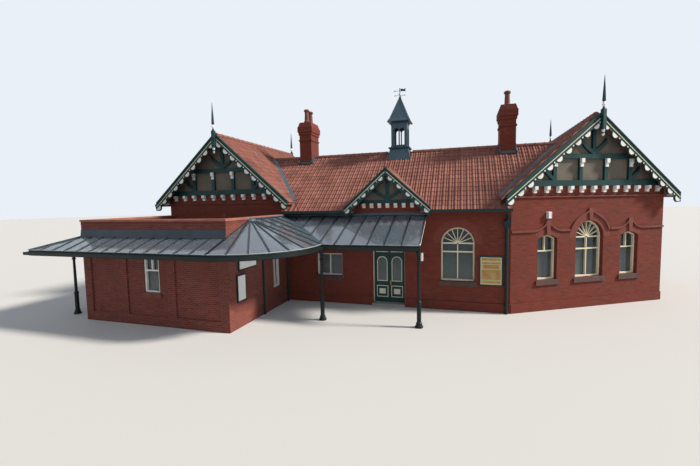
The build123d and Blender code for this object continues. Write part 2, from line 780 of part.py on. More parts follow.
lantern_foot = skirt_top_z + ledge_h
louvre_w = 250
louvre_foot = lantern_foot + 110
louvre_top = 8490
with BuildPart() as cupola_lantern:
    with BuildSketch(Plane(origin=(0, main_mid, lantern_foot))):
        Rectangle(lantern_w, lantern_w)
        Rectangle(lantern_w - 2 * lantern_wall, lantern_w - 2 * lantern_wall, mode=Mode.SUBTRACT)
    extrude(amount=lantern_top - lantern_foot)
    for turn in (0, 90):
        with BuildSketch(face_plane(0, main_mid, turn)):
            for side in (-1, 1):
                add(arched(side * 150, louvre_w, louvre_foot, louvre_top, louvre_w / 2))
        extrude(amount=lantern_w, both=True, mode=Mode.SUBTRACT)
cupola_lantern.part.label = "cupola_lantern"
export_step(cupola_lantern.part, "parts/cupola_lantern.step")

with BuildPart() as cupola_roof:
    for z0, w0, z1, w1 in ((lantern_top, cup_eave_w, lantern_top + 190, 930),
                           (lantern_top + 190, 930, cup_apex_z, 50)):
        with BuildSketch(Plane(origin=(0, main_mid, z0))):
            Rectangle(w0, w0)
        with BuildSketch(Plane(origin=(0, main_mid, z1))):
            Rectangle(w1, w1)
        loft()
    with Locations((0, main_mid, cup_apex_z + 130)):
        Cylinder(12, 260)
    for turn in (0, 90):
        with BuildSketch(face_plane(0, main_mid, turn)):
            with Locations((0, cup_apex_z + 110)):
                Rectangle(520, 16)
        extrude(amount=8, both=True)
cupola_roof.part.label = "cupola_roof"
export_step(cupola_roof.part, "parts/cupola_roof.step")

vane_z = cup_apex_z + 260 + pin_gap
with BuildPart() as weathervane:
    with Locations((0, main_mid, vane_z + 110)):
        Cylinder(22, 220)
    with BuildSketch(face_plane(0, main_mid)):
        with Locations((0, vane_z + 90)):
            Rectangle(520, 16)
        with BuildLine():
            Polyline((60, vane_z + 50), (130, vane_z + 70), (250, vane_z + 50), (290, vane_z + 30),
                     (290, vane_z + 200), (200, vane_z + 150), (100, vane_z + 200), (40, vane_z + 170),
                     close=True)
        make_face()
        with BuildLine():
            Polyline((-250, vane_z + 50), (-320, vane_z + 90), (-250, vane_z + 130), close=True)
        make_face()
    extrude(amount=8, both=True)
weathervane.part.label = "weathervane"
export_step(weathervane.part, "parts/weathervane.step")


# Window joinery: a ring with a mullion and transoms, cut from one outline
def joinery(window, mullions, transoms, fan, upper_only=False):
    mid, width, foot, top, rise = window
    bar_foot = transoms[0] if upper_only else foot
    with BuildSketch() as ring:
        add(arched(*window))
        offset(amount=-frame_w, kind=Kind.INTERSECTION, mode=Mode.SUBTRACT)
    with BuildSketch() as bars:
        for x in mullions:
            with Locations((mid + x, (bar_foot + transoms[-1]) / 2)):
                Rectangle(bar_w, transoms[-1] - bar_foot)
        for z in transoms:
            with Locations((mid, z)):
                Rectangle(width, bar_w + 15)
        if fan:
            for i in range(1, fan):
                with Locations(Location((mid, transoms[-1]), 180 * i / fan)):
                    with Locations((width / 4, 0)):
                        Rectangle(width / 2, bar_w * 0.7)
        add(arched(*window), mode=Mode.INTERSECT)
        add(ring.sketch)
    return bars.sketch


def wing_joinery(window):
    if window[4] == side_rise:
        return joinery(window, (0,), (2500, window[3] - 30), 0, upper_only=True)
    return joinery(window, (0,), (2510, window[3] - window[4]), 8)


arch_joinery = ((0,), (2500, arch_top - arch_w / 2), 8)
wide_window = (wide_mid, wide_w, wide_sill, wide_top, 1)
with BuildPart() as window_frames:
    with BuildSketch(front_face.offset(-frame_back)):
        add(joinery(main_arch, *arch_joinery))
        add(joinery(wide_window, (0,), (wide_top - 20,), 0))
    extrude(amount=-frame_depth)
    with BuildSketch(rear_face.offset(-frame_back)):
        for window in rear_arches:
            add(joinery(window, *arch_joinery))
    extrude(amount=-frame_depth)
    for plane, windows in ((skew_gable_face, skew_windows), (left_rear_face, rear_gable_windows),
                           (right_rear_face, rear_gable_windows), (left_side_face, left_side_windows),
                           (right_side_face, right_side_windows)):
        with BuildSketch(plane.offset(-frame_back)):
            for window in windows:
                add(wing_joinery(window))
        extrude(amount=-frame_depth)
    with BuildSketch(low_front_face.offset(-low_frame_back)):
        add(joinery(low_window, (0,), (2180, low_win_top - 20), 0, upper_only=True))
    extrude(amount=-frame_depth)
    with BuildSketch(low_side_face.offset(-low_frame_back)):
        add(joinery(low_side_window, (0,), (low_side_top - 20,), 0))
    extrude(amount=-frame_depth)
window_frames.part.label = "window_frames"
export_step(window_frames.part, "parts/window_frames.step")

# One sheet of glass behind each window's joinery
with BuildPart() as window_glass:
    for plane, windows in (
        (front_face, [main_arch, wide_window]),
        (skew_gable_face, skew_windows), (rear_face, rear_arches),
        (left_rear_face, rear_gable_windows), (right_rear_face, rear_gable_windows),
        (left_side_face, left_side_windows), (right_side_face, right_side_windows),
        (low_front_face.offset(frame_back - low_frame_back), [low_window]),
        (low_side_face.offset(frame_back - low_frame_back), [low_side_window]),
    ):
        with BuildSketch(plane.offset(-frame_back - frame_depth)):
            for window in windows:
                add(arched(*window))
        extrude(amount=-glass_t)
    with BuildSketch(front_face.offset(-door_back - leaf_t)):
        add(arched(0, door_w, transom_z + 40, door_top, door_w / 2))
    extrude(amount=-glass_t)
window_glass.part.label = "window_glass"
export_step(window_glass.part, "parts/window_glass.step")

# Stone sills
with BuildPart() as window_sills:
    for plane, windows in (
        (front_face, [main_arch, wide_window]),
        (skew_gable_face, skew_windows), (rear_face, rear_arches),
        (left_rear_face, rear_gable_windows), (right_rear_face, rear_gable_windows),
        (left_side_face, left_side_windows), (right_side_face, right_side_windows),
        (low_front_face.offset(-pilaster_out), [low_window]),
    ):
        with BuildSketch(plane):
            for mid, width, foot, top, rise in windows:
                with Locations((mid, foot - sill_h / 2)):
                    Rectangle(width + 2 * sill_over, sill_h)
        extrude(amount=sill_out)
window_sills.part.label = "window_sills"
export_step(window_sills.part, "parts/window_sills.step")

# Entrance: frame, step, two leaves with arched lights, fanlight
door_face = front_face.offset(-door_back)
light_w = 400
light_foot = 1110
light_top = 2170
leaf_w = door_w / 2 - jamb_w - 2 * leaf_gap
leaf_foot_z = step_h + leaf_foot
leaf_top_z = transom_z - leaf_foot
hinge_x = door_w / 2 - jamb_w - leaf_gap
hinge_y = door_back + leaf_t + barrel_r + pin_gap
fan_z = door_top - door_w / 2
with BuildPart() as entrance_frame:
    with BuildSketch(door_face):
        for side in (-1, 1):
            with Locations((side * (door_w - jamb_w) / 2, (step_h + transom_z - seam) / 2)):
                Rectangle(jamb_w, transom_z - seam - step_h)
    extrude(amount=-leaf_t)
    with BuildSketch(door_face):
        add(arched(0, door_w, transom_z, door_top, door_w / 2))
        add(arched(0, door_w - 2 * jamb_w, transom_z - 10, door_top - jamb_w, door_w / 2 - jamb_w),
            mode=Mode.SUBTRACT)
        with Locations((0, transom_z + transom_h / 2)):
            Rectangle(door_w, transom_h)
        with Locations((0, fan_z)):
            Rectangle(door_w - jamb_w, transom_h)
        with Locations((0, (transom_z + transom_h + fan_z) / 2)):
            Rectangle(bar_w, fan_z - transom_z - transom_h)
        for i in range(1, 6):
            with Locations(Location((0, fan_z), 30 * i)):
                with Locations(((door_w - jamb_w) / 4, 0)):
                    Rectangle((door_w - jamb_w) / 2, bar_w * 0.8)
    extrude(amount=-leaf_t)
entrance_frame.part.label = "entrance_frame"
export_step(entrance_frame.part, "parts/entrance_frame.step")

# Hinges: a barrel on the inner face of each leaf's edge, plated to the jamb
plate_t = 8
with BuildPart() as door_hinges:
    for side in (-1, 1):
        for z in (350, 1200, 2050):
            with Locations((side * hinge_x, hinge_y, z)):
                Cylinder(barrel_r, 90)
            with Locations((side * (hinge_x + leaf_gap + 1 + 19), door_back + leaf_t + plate_t / 2, z)):
                Box(38, plate_t, 90)
            with Locations((side * (hinge_x + 10), door_back + leaf_t + plate_t / 2 + 1, z)):
                Box(20, plate_t - 2, 90)
door_hinges.part.label = "door_hinges"
export_step(door_hinges.part, "parts/door_hinges.step")

with BuildPart() as entrance_step:
    with BuildSketch():
        with Locations((0, (wall_t - 120) / 2)):
            Rectangle(door_w, wall_t + 120)
    extrude(amount=step_h)
entrance_step.part.label = "entrance_step"
export_step(entrance_step.part, "parts/entrance_step.step")

for name, side in (("left_door_leaf", -1), ("right_door_leaf", 1)):
    leaf_mid = side * (leaf_gap + leaf_w / 2)
    with BuildPart() as leaf:
        with BuildSketch(door_face):
            with Locations((leaf_mid, (leaf_foot_z + leaf_top_z) / 2)):
                Rectangle(leaf_w, leaf_top_z - leaf_foot_z)
            add(arched(leaf_mid, light_w, light_foot, light_top, light_w / 2), mode=Mode.SUBTRACT)
        extrude(amount=-leaf_t)
        with BuildSketch(door_face):
            with Locations((leaf_mid, 600)):
                Rectangle(light_w, 490)
        extrude(amount=-12, mode=Mode.SUBTRACT)
        with BuildSketch(door_face.offset(-12)):
            with Locations((leaf_mid, 600)):
                Rectangle(light_w - 120, 370)
        extrude(amount=12)
    leaf.part.label = name
    export_step(leaf.part, "parts/" + name + ".step")

for name, side in (("left_door_glass", -1), ("right_door_glass", 1)):
    leaf_mid = side * (leaf_gap + leaf_w / 2)
    with BuildPart() as pane:
        with BuildSketch(door_face.offset(-(leaf_t - glass_t) / 2)):
            add(arched(leaf_mid, light_w, light_foot, light_top, light_w / 2))
        extrude(amount=-glass_t)
    pane.part.label = name
    export_step(pane.part, "parts/" + name + ".step")

# Low building: three walls with pilasters, flat roof, coping and lead flashing
panels = [(low_x0 + pilaster_w, low_x1 - 5090), (low_x1 - 4710, low_x1 - 2780),
          (low_x1 - 2370, low_x1 - pilaster_w)]
band_z = 3850
with BuildPart() as low_front_wall:
    with BuildSketch(low_front_face):
        with Locations(((low_x0 + low_x1) / 2, low_top / 2)):
            Rectangle(low_x1 - low_x0, low_top)
        with Locations((low_win_mid, (low_win_sill + low_win_top) / 2)):
            Rectangle(low_win_w, low_win_top - low_win_sill, mode=Mode.SUBTRACT)
    extrude(amount=-low_t)
    with BuildSketch(low_front_face):
        for x0, x1 in panels:
            with Locations(((x0 + x1) / 2, (plinth_h + can_z) / 2)):
                Rectangle(x1 - x0, can_z - plinth_h)
    extrude(amount=-pilaster_out, mode=Mode.SUBTRACT)
low_front_wall.part.label = "low_front_wall"
export_step(low_front_wall.part, "parts/low_front_wall.step")

with BuildPart() as low_side_wall:
    with BuildSketch(low_side_face):
        with Locations(((low_y + low_t) / 2, low_top / 2)):
            Rectangle(-low_y - low_t, low_top)
        with Locations((low_side_mid, (low_side_sill + low_side_top) / 2)):
            Rectangle(low_side_w, low_side_top - low_side_sill, mode=Mode.SUBTRACT)
    extrude(amount=-low_t)
low_side_wall.part.label = "low_side_wall"
export_step(low_side_wall.part, "parts/low_side_wall.step")

with BuildPart() as low_end_wall:
    with BuildSketch(face_plane(low_x0, 0, -90)):
        with Locations((-(low_y + low_t) / 2, low_top / 2)):
            Rectangle(-low_y - low_t, low_top)
    extrude(amount=-low_t)
low_end_wall.part.label = "low_end_wall"
export_step(low_end_wall.part, "parts/low_end_wall.step")

with BuildPart() as low_roof:
    with BuildSketch(Plane.XY.offset(low_roof_z)):
        with Locations(((low_x0 + low_x1) / 2, (low_y + low_t) / 2)):
            Rectangle(low_x1 - low_x0 - 2 * low_t, -low_y - low_t)
    extrude(amount=roof_t)
low_roof.part.label = "low_roof"
export_step(low_roof.part, "parts/low_roof.step")

with BuildPart() as low_coping:
    with BuildSketch(Plane.XY.offset(low_top)):
        with Locations(((low_x0 + low_x1) / 2, (low_y - 30) / 2)):
            Rectangle(low_x1 - low_x0 + 60, -low_y + 30)
        with Locations(((low_x0 + low_x1) / 2, (low_y + low_t + 30) / 2)):
            Rectangle(low_x1 - low_x0 - 2 * low_t - 60, -low_y - low_t - 30, mode=Mode.SUBTRACT)
    extrude(amount=low_coping_h)
    for x in (low_x0 + low_t + 30, low_x1 - low_t - 30):
        with Locations((x, low_y + low_t / 2, low_top + low_coping_h / 2)):
            Box(seam, low_t + 60, low_coping_h, mode=Mode.SUBTRACT)
low_coping.part.label = "low_coping"
export_step(low_coping.part, "parts/low_coping.step")

# Glazed canopy: sections of each strip, then the quarter cone at the corner
cone_rise = can_slope * cone_r
cone_top = can_z + cone_rise
side_can_x = low_x1 + cone_r
front_can_y = cone_y - cone_r
front_can_top = can_z + can_slope * (low_y - front_can_y)
valley = Plane(origin=(side_can_x, -main_can_d, 0), x_dir=(cone_r, -main_can_d, 0),
               z_dir=(main_can_d, cone_r, 0))
valley_len = (cone_r ** 2 + main_can_d ** 2) ** 0.5
valley_turn = 180 - degrees(atan(main_can_d / cone_r))
hip_dx = low_x0 - left_can_x
hip_dy = low_y - front_can_y
hip = Plane(origin=(left_can_x, front_can_y, 0), x_dir=(hip_dx, hip_dy, 0), z_dir=(hip_dy, -hip_dx, 0))


def sloped(x0, z0, x1, z1, depth):
    return outline((x0, z0), (x1, z1), (x1, z1 - depth), (x0, z0 - depth))


bar_z = can_z - can_glass_t
plate_w = 50
plate_h = 110
hip_len = (hip_dx ** 2 + hip_dy ** 2) ** 0.5
left_rise = front_can_top - can_z
hip_drop = 12
hip_start = beam_w + 20


def spaced(start, end, gap):
    count = max(1, round(abs(end - start) / gap))
    return [start + (end - start) * i / count for i in range(count + 1)]


# Each strip is built whole and cut at the hip, the valley or the cone's edges
with BuildPart() as glass_front:
    with BuildSketch(face_plane(left_can_x, 0, 90)):
        add(sloped(front_can_y, can_z, low_y, front_can_top, can_glass_t))
    extrude(amount=low_x1 - seam - left_can_x)
    split(bisect_by=hip.offset(seam / 2), keep=Keep.TOP)

with BuildPart() as glass_left:
    with BuildSketch(face_plane(0, front_can_y)):
        add(sloped(left_can_x, can_z, low_x0, front_can_top, can_glass_t))
    extrude(amount=front_can_y)
    split(bisect_by=hip.offset(-seam / 2), keep=Keep.BOTTOM)

with BuildPart() as glass_cone:
    with BuildSketch(face_plane(low_x1, cone_y)):
        add(sloped(cone_r, can_z, 0, cone_top, can_glass_t))
    revolve(axis=Axis((low_x1, cone_y, 0), (0, 0, 1)), revolution_arc=-90)

with BuildPart() as glass_side:
    with BuildSketch(face_plane(0, cone_y + seam)):
        add(sloped(side_can_x, can_z, low_x1, cone_top, can_glass_t))
    extrude(amount=cone_y + seam)
    split(bisect_by=valley.offset(-seam / 2), keep=Keep.BOTTOM)

with BuildPart() as glass_main:
    with BuildSketch(face_plane(low_x1, 0, 90)):
        add(sloped(-main_can_d, can_z, 0, cone_top, can_glass_t))
    extrude(amount=main_can_x - low_x1)
    split(bisect_by=valley.offset(seam / 2), keep=Keep.TOP)

with BuildPart() as canopy_glass:
    for strip in (glass_front, glass_left, glass_cone, glass_side, glass_main):
        add(strip.part)
canopy_glass.part.label = "canopy_glass"
export_step(canopy_glass.part, "parts/canopy_glass.step")

# Canopy bars under the glass with their edge beams and wall plates
with BuildPart() as frame_front:
    for x in spaced(low_x1, left_can_x, rafter_gap):
        with BuildSketch(face_plane(x, 0, 90)):
            add(sloped(front_can_y, bar_z, low_y, bar_z + left_rise, rafter_h))
        extrude(amount=rafter_w / 2, both=True)
    with BuildSketch(Plane.XY.offset(bar_z - beam_h)):
        with Locations(((left_can_x + low_x1) / 2, front_can_y + beam_w / 2)):
            Rectangle(low_x1 - left_can_x, beam_w)
    extrude(amount=beam_h)
    with BuildSketch(Plane.XY.offset(bar_z + left_rise - rafter_h - plate_h)):
        with Locations(((low_x0 + low_x1) / 2, low_y - plate_w / 2)):
            Rectangle(low_x1 - low_x0, plate_w)
    extrude(amount=plate_h + 10)
    with BuildSketch(face_plane(left_can_x, front_can_y, degrees(atan(hip_dy / hip_dx)))):
        add(sloped(hip_start, bar_z - hip_drop + left_rise * hip_start / hip_len, hip_len,
                   bar_z + left_rise - hip_drop, rafter_h))
    extrude(amount=rafter_w / 2, both=True)
    split(bisect_by=hip.offset(seam / 2), keep=Keep.TOP)
    split(bisect_by=face_plane(low_x1 - seam, 0, 90), keep=Keep.BOTTOM)

with BuildPart() as frame_left:
    for y in spaced(0, front_can_y, rafter_gap):
        with BuildSketch(face_plane(0, y)):
            add(sloped(left_can_x, bar_z, low_x0, bar_z + left_rise, rafter_h))
        extrude(amount=rafter_w / 2, both=True)
    with BuildSketch(Plane.XY.offset(bar_z - beam_h)):
        with Locations((left_can_x + beam_w / 2, front_can_y / 2)):
            Rectangle(beam_w, -front_can_y)
    extrude(amount=beam_h)
    with BuildSketch(Plane.XY.offset(bar_z + left_rise - rafter_h - plate_h)):
        with Locations((low_x0 - plate_w / 2, low_y / 2)):
            Rectangle(plate_w, -low_y)
    extrude(amount=plate_h + 10)
    with BuildSketch(face_plane(left_can_x, front_can_y, degrees(atan(hip_dy / hip_dx)))):
        add(sloped(hip_start, bar_z - hip_drop + left_rise * hip_start / hip_len, hip_len,
                   bar_z + left_rise - hip_drop, rafter_h))
    extrude(amount=rafter_w / 2, both=True)
    split(bisect_by=hip.offset(-seam / 2), keep=Keep.BOTTOM)
    split(bisect_by=front_face, keep=Keep.TOP)

with BuildPart() as frame_cone:
    for i in range(cone_panes + 1):
        with BuildSketch(face_plane(low_x1, cone_y, -90 + 90 * i / cone_panes)):
            add(sloped(350, bar_z - pin_gap + can_slope * (cone_r - 350), cone_r - 5,
                       bar_z - pin_gap + can_slope * 5, rafter_h))
        extrude(amount=rafter_w / 2, both=True)
    with BuildSketch(face_plane(low_x1, cone_y)):
        with Locations((cone_r - beam_w / 2, bar_z - beam_h / 2)):
            Rectangle(beam_w, beam_h)
    revolve(axis=Axis((low_x1, cone_y, 0), (0, 0, 1)), revolution_arc=-90)
    split(bisect_by=face_plane(low_x1, 0, 90), keep=Keep.TOP)
    split(bisect_by=face_plane(0, cone_y), keep=Keep.TOP)

with BuildPart() as frame_side:
    for y in spaced(cone_y, 0, rafter_gap):
        with BuildSketch(face_plane(0, y)):
            add(sloped(side_can_x, bar_z, low_x1, bar_z + cone_rise, rafter_h))
        extrude(amount=rafter_w / 2, both=True)
    with BuildSketch(Plane.XY.offset(bar_z - beam_h)):
        with Locations((side_can_x - beam_w / 2, cone_y / 2)):
            Rectangle(beam_w, -cone_y)
    extrude(amount=beam_h)
    with BuildSketch(Plane.XY.offset(bar_z + cone_rise - rafter_h - plate_h)):
        with Locations((low_x1 + plate_w / 2, cone_y / 2)):
            Rectangle(plate_w, -cone_y)
    extrude(amount=plate_h + 10)
    with BuildSketch(face_plane(side_can_x, -main_can_d, valley_turn)):
        add(sloped(0, bar_z, valley_len, bar_z + cone_rise, rafter_h))
    extrude(amount=rafter_w / 2, both=True)
    split(bisect_by=valley.offset(-seam / 2), keep=Keep.BOTTOM)
    split(bisect_by=face_plane(0, cone_y + seam), keep=Keep.BOTTOM)
    split(bisect_by=front_face, keep=Keep.TOP)
    split(bisect_by=face_plane(side_can_x, 0, 90), keep=Keep.BOTTOM)
    split(bisect_by=face_plane(low_x1, 0, 90), keep=Keep.TOP)

with BuildPart() as frame_main:
    for x in spaced(main_can_x - rafter_w / 2, low_x1, rafter_gap):
        with BuildSketch(face_plane(x, 0, 90)):
            add(sloped(-main_can_d, bar_z, 0, bar_z + cone_rise, rafter_h))
        extrude(amount=rafter_w / 2, both=True)
    with BuildSketch(Plane.XY.offset(bar_z - beam_h)):
        with Locations(((low_x1 + main_can_x) / 2, -main_can_d + beam_w / 2)):
            Rectangle(main_can_x - low_x1, beam_w)
    extrude(amount=beam_h)
    with BuildSketch(Plane.XY.offset(bar_z + cone_rise - rafter_h - plate_h)):
        with Locations(((low_x1 + main_can_x) / 2, -plate_w / 2)):
            Rectangle(main_can_x - low_x1, plate_w)
    extrude(amount=plate_h + 10)
    with BuildSketch(face_plane(side_can_x, -main_can_d, valley_turn)):
        add(sloped(0, bar_z, valley_len, bar_z + cone_rise, rafter_h))
    extrude(amount=rafter_w / 2, both=True)
    split(bisect_by=valley.offset(seam / 2), keep=Keep.TOP)
    split(bisect_by=face_plane(0, -main_can_d), keep=Keep.BOTTOM)
    split(bisect_by=front_face, keep=Keep.TOP)

with BuildPart() as canopy_frame:
    for strip in (frame_front, frame_left, frame_cone, frame_side, frame_main):
        add(strip.part)
canopy_frame.part.label = "canopy_frame"
export_step(canopy_frame.part, "parts/canopy_frame.step")

# Canopy gutter outside the edge beams
gutter_t = 14
gutter_z = bar_z - gutter_h - 40


def gutter_section(start, foot, side):
    return outline(*[(start + side * x, foot + z) for x, z in (
        (0, 0), (gutter_w, 0), (gutter_w, gutter_h), (gutter_w - gutter_t, gutter_h),
        (gutter_w - gutter_t, gutter_t), (gutter_t, gutter_t), (gutter_t, gutter_h), (0, gutter_h))])


with BuildPart() as canopy_gutter:
    with BuildSketch(face_plane(left_can_x - gutter_w, 0, 90)):
        add(gutter_section(front_can_y, gutter_z, -1))
    extrude(amount=low_x1 - left_can_x + gutter_w - seam)
    with BuildSketch(face_plane(0, front_can_y + seam)):
        add(gutter_section(left_can_x, gutter_z, -1))
    extrude(amount=front_can_y + seam)
    with BuildSketch(face_plane(low_x1, cone_y)):
        add(gutter_section(cone_r, gutter_z, 1))
    revolve(axis=Axis((low_x1, cone_y, 0), (0, 0, 1)), revolution_arc=-90)
    with BuildSketch(face_plane(0, cone_y + seam)):
        add(gutter_section(side_can_x, gutter_z, 1))
    extrude(amount=cone_y + main_can_d + 2 * seam)
    with BuildSketch(face_plane(side_can_x, 0, 90)):
        add(gutter_section(-main_can_d, gutter_z, -1))
    extrude(amount=main_can_x - side_can_x)
    with BuildSketch(Plane.XY.offset(gutter_z)):
        with Locations((side_can_x + gutter_w / 2, -main_can_d - gutter_w - seam / 2)):
            Rectangle(gutter_w + 2, seam)
    extrude(amount=gutter_h, mode=Mode.SUBTRACT)
canopy_gutter.part.label = "canopy_gutter"
export_step(canopy_gutter.part, "parts/canopy_gutter.step")

# Cast-iron columns
column_top = bar_z - beam_h
with BuildPart() as canopy_posts:
    for x, y in ((side_can_x - beam_w / 2, -main_can_d + beam_w / 2),
                 (main_can_x - 60, -main_can_d + beam_w / 2),
                 (left_can_x + beam_w / 2, -4320), (left_can_x + beam_w / 2, -250)):
        with BuildSketch(face_plane(x, y)):
            with BuildLine():
                Polyline((0, 0), (150, 0), (150, 60), (115, 90), (115, 170), (post_r + 22, 210),
                         (post_r + 22, 900), (post_r + 34, 920), (post_r + 34, 970), (post_r, 1010),
                         (post_r - 12, column_top - 420), (post_r + 22, column_top - 400),
                         (post_r + 22, column_top - 370), (post_r - 5, column_top - 340),
                         (post_r + 5, column_top - 160), (105, column_top - 60), (105, column_top),
                         (0, column_top), close=True)
            make_face()
        revolve(axis=Axis((x, y, 0), (0, 0, 1)))
canopy_posts.part.label = "canopy_posts"
export_step(canopy_posts.part, "parts/canopy_posts.step")

# Lead flashings where the glass meets brick
with BuildPart() as lead_flashings:
    with BuildSketch(face_plane(low_x0, 0, 90)):
        add(outline((low_y, front_can_top + 2), (low_y - 60, front_can_top - 20), (low_y - 15, 3780),
                    (low_y, 3790)))
    extrude(amount=low_x1 - low_x0)
    with BuildSketch(face_plane(0, low_y)):
        add(outline((low_x0, front_can_top + 2), (low_x0 - 60, front_can_top - 5), (low_x0 - 15, 3780),
                    (low_x0, 3790)))
    extrude(amount=low_y)
    with BuildSketch(face_plane(low_x1 + 65, 0, 90)):
        add(outline((0, cone_top + 1), (-60, cone_top - 20), (-15, cone_top + 110),
                    (0, cone_top + 120)))
    extrude(amount=main_can_x - low_x1 - 65)
lead_flashings.part.label = "lead_flashings"
export_step(lead_flashings.part, "parts/lead_flashings.step")

# Eaves gutters and downpipes
eave_gutter_z = main_eave_z - roof_t + 10
wing_gutter_z = wing_eave_z - roof_t + 10
pipe_r = 60
pipe_in = 165
flank_pipe_r = 45
hopper_z = 3560
right_gutter_y = (wing_w + wing_eave_out) * skew_back / wing_w - skew_verge_out / cos(radians(skew)) + 80
with BuildPart() as eaves_gutters:
    for x0, x1 in ((-main_half, -gable_roof_half), (gable_roof_half, main_half)):
        with BuildSketch(face_plane(x0, 0, 90)):
            add(gutter_section(-main_eave_out, eave_gutter_z, -1))
        extrude(amount=x1 - x0)
    with BuildSketch(face_plane(-main_half, 0, 90)):
        add(gutter_section(main_depth + main_eave_out, eave_gutter_z, 1))
    extrude(amount=2 * main_half)
    with BuildSketch(face_plane(0, -verge_out)):
        add(gutter_section(left_x0 - wing_eave_out, wing_gutter_z, -1))
    extrude(amount=-(main_depth + 2 * verge_out))
    with BuildSketch(face_plane(0, right_gutter_y)):
        add(gutter_section(right_x1 + wing_eave_out, wing_gutter_z, 1))
    extrude(amount=-(right_rear + verge_out - right_gutter_y))
eaves_gutters.part.label = "eaves_gutters"
export_step(eaves_gutters.part, "parts/eaves_gutters.step")

with BuildPart() as downpipes:
    for x, wall_y, side in ((main_half - pipe_in, 0, -1), (main_half - pipe_in, main_depth, 1),
                            (-main_half + pipe_in, main_depth, 1)):
        near = wall_y + side * (plinth_out + pipe_r + 2)
        far = wall_y + side * (main_eave_out + gutter_w / 2)
        with BuildLine() as run:
            Polyline((x, near, 0), (x, near, eave_gutter_z - 330), (x, far, eave_gutter_z - 90),
                     (x, far, eave_gutter_z))
        with BuildSketch(Plane(origin=(x, near, 0))):
            Circle(pipe_r)
        sweep(path=run.line, transition=Transition.RIGHT)
        with BuildSketch(Plane(origin=(x, near, hopper_z))):
            Rectangle(2 * pipe_r, 2 * pipe_r)
        with BuildSketch(Plane(origin=(x, near, hopper_z + 180))):
            Rectangle(280, 200)
        loft()
        with Locations((x, near, hopper_z + 215)):
            Box(300, 206, 70)
    for y in (-2450, -240):
        with Locations((low_x1 + flank_pipe_r, y, (bar_z - beam_h) / 2)):
            Cylinder(flank_pipe_r, bar_z - beam_h)
downpipes.part.label = "downpipes"
export_step(downpipes.part, "parts/downpipes.step")

# Half-round ridge tiles
ridge_r = 115
valley_x = right_mid - (wing_ridge_z - main_ridge_z) / wing_slope
skirt_half = skirt_w / 2
ridge_runs = [(-valley_x, -chimney_x - chimney_w / 2 - 2), (-chimney_x + chimney_w / 2 + 2, -skirt_half),
              (skirt_half, chimney_x - chimney_w / 2 - 2), (chimney_x + chimney_w / 2 + 2, valley_x)]
with BuildPart() as ridge_tiles:
    for x0, x1 in ridge_runs:
        with BuildSketch(face_plane(x0, 0, 90)):
            with Locations((main_mid, main_ridge_z - 45)):
                Circle(ridge_r)
        extrude(amount=x1 - x0)
    add(main_space.part, mode=Mode.SUBTRACT)
    for x, y0, y1 in ((left_mid, -verge_out, main_depth + verge_out),
                      (right_mid, skew_back / 2 - skew_verge_out / cos(radians(skew)) + ridge_r,
                       right_rear + verge_out)):
        with BuildSketch(face_plane(0, y0)):
            with Locations((x, wing_ridge_z - 45)):
                Circle(ridge_r)
        extrude(amount=-(y1 - y0))
    add(left_wing_space.part, mode=Mode.SUBTRACT)
    add(right_wing_space.part, mode=Mode.SUBTRACT)
ridge_tiles.part.label = "ridge_tiles"
export_step(ridge_tiles.part, "parts/ridge_tiles.step")

# Hood moulds and string courses of the wing fronts
string_z = 3320
string_h = 80
mould_out = 55


# One flank of a hood: a hollow curve from out along the wall up to the keystone
def ogee(mid, side, x0, z0, x1, z1, sag):
    return brace(mid + side * x0, z0, mid + side * x1, z1, sag, string_h)


def keystone(mid, foot, top):
    return outline((mid - 75, foot), (mid + 75, foot), (mid + 110, top), (mid - 110, top))


hood_r = 1060
hood_join = 430
arch_hood_z = wing_arch_top - wing_arch_w / 2
hood_join_z = arch_hood_z + ((hood_r - string_h) ** 2 - hood_join ** 2) ** 0.5
arch_key_top = 4270
side_hood_half = 640
side_key_top = 3790
upper_string_z = 4765


def arch_hood(mid):
    with BuildSketch() as shape:
        with Locations((mid, arch_hood_z)):
            Circle(hood_r)
            Circle(hood_r - string_h, mode=Mode.SUBTRACT)
        with Locations((mid, string_z - 2000)):
            Rectangle(4000, 4000, mode=Mode.SUBTRACT)
        with Locations((mid, hood_join_z)):
            Rectangle(2 * hood_join, 1000, mode=Mode.SUBTRACT)
        for side in (-1, 1):
            add(ogee(mid, side, hood_join + 5, hood_join_z, 60, arch_key_top - 130, 25))
        add(keystone(mid, wing_arch_top + 20, arch_key_top))
    return shape.sketch


with BuildPart() as hood_moulds:
    with BuildSketch(skew_gable_face):
        with Locations((0, string_z + string_h / 2)):
            Rectangle(skew_len, string_h)
        for x, reach in ((0, hood_r - 20), (-side_off, side_hood_half), (side_off, side_hood_half)):
            with Locations((skew_win_mid + x, string_z)):
                Rectangle(2 * reach, 1000, mode=Mode.SUBTRACT)
        add(arch_hood(skew_win_mid))
        for x in (skew_win_mid - side_off, skew_win_mid + side_off):
            for side in (-1, 1):
                add(ogee(x, side, side_hood_half + 5, string_z, 60, side_key_top - 130, 80))
            add(keystone(x, side_top + 20, side_key_top))
        with Locations((0, upper_string_z)):
            Rectangle(skew_len, 50)
    extrude(amount=mould_out)
    with BuildSketch(left_gable_face):
        add(arch_hood(0))
        with Locations((0, low_roof_z + roof_t - 2000)):
            Rectangle(4000, 4000, mode=Mode.SUBTRACT)
        with Locations((0, upper_string_z)):
            Rectangle(wing_w, 50)
    extrude(amount=mould_out)
hood_moulds.part.label = "hood_moulds"
export_step(hood_moulds.part, "parts/hood_moulds.step")

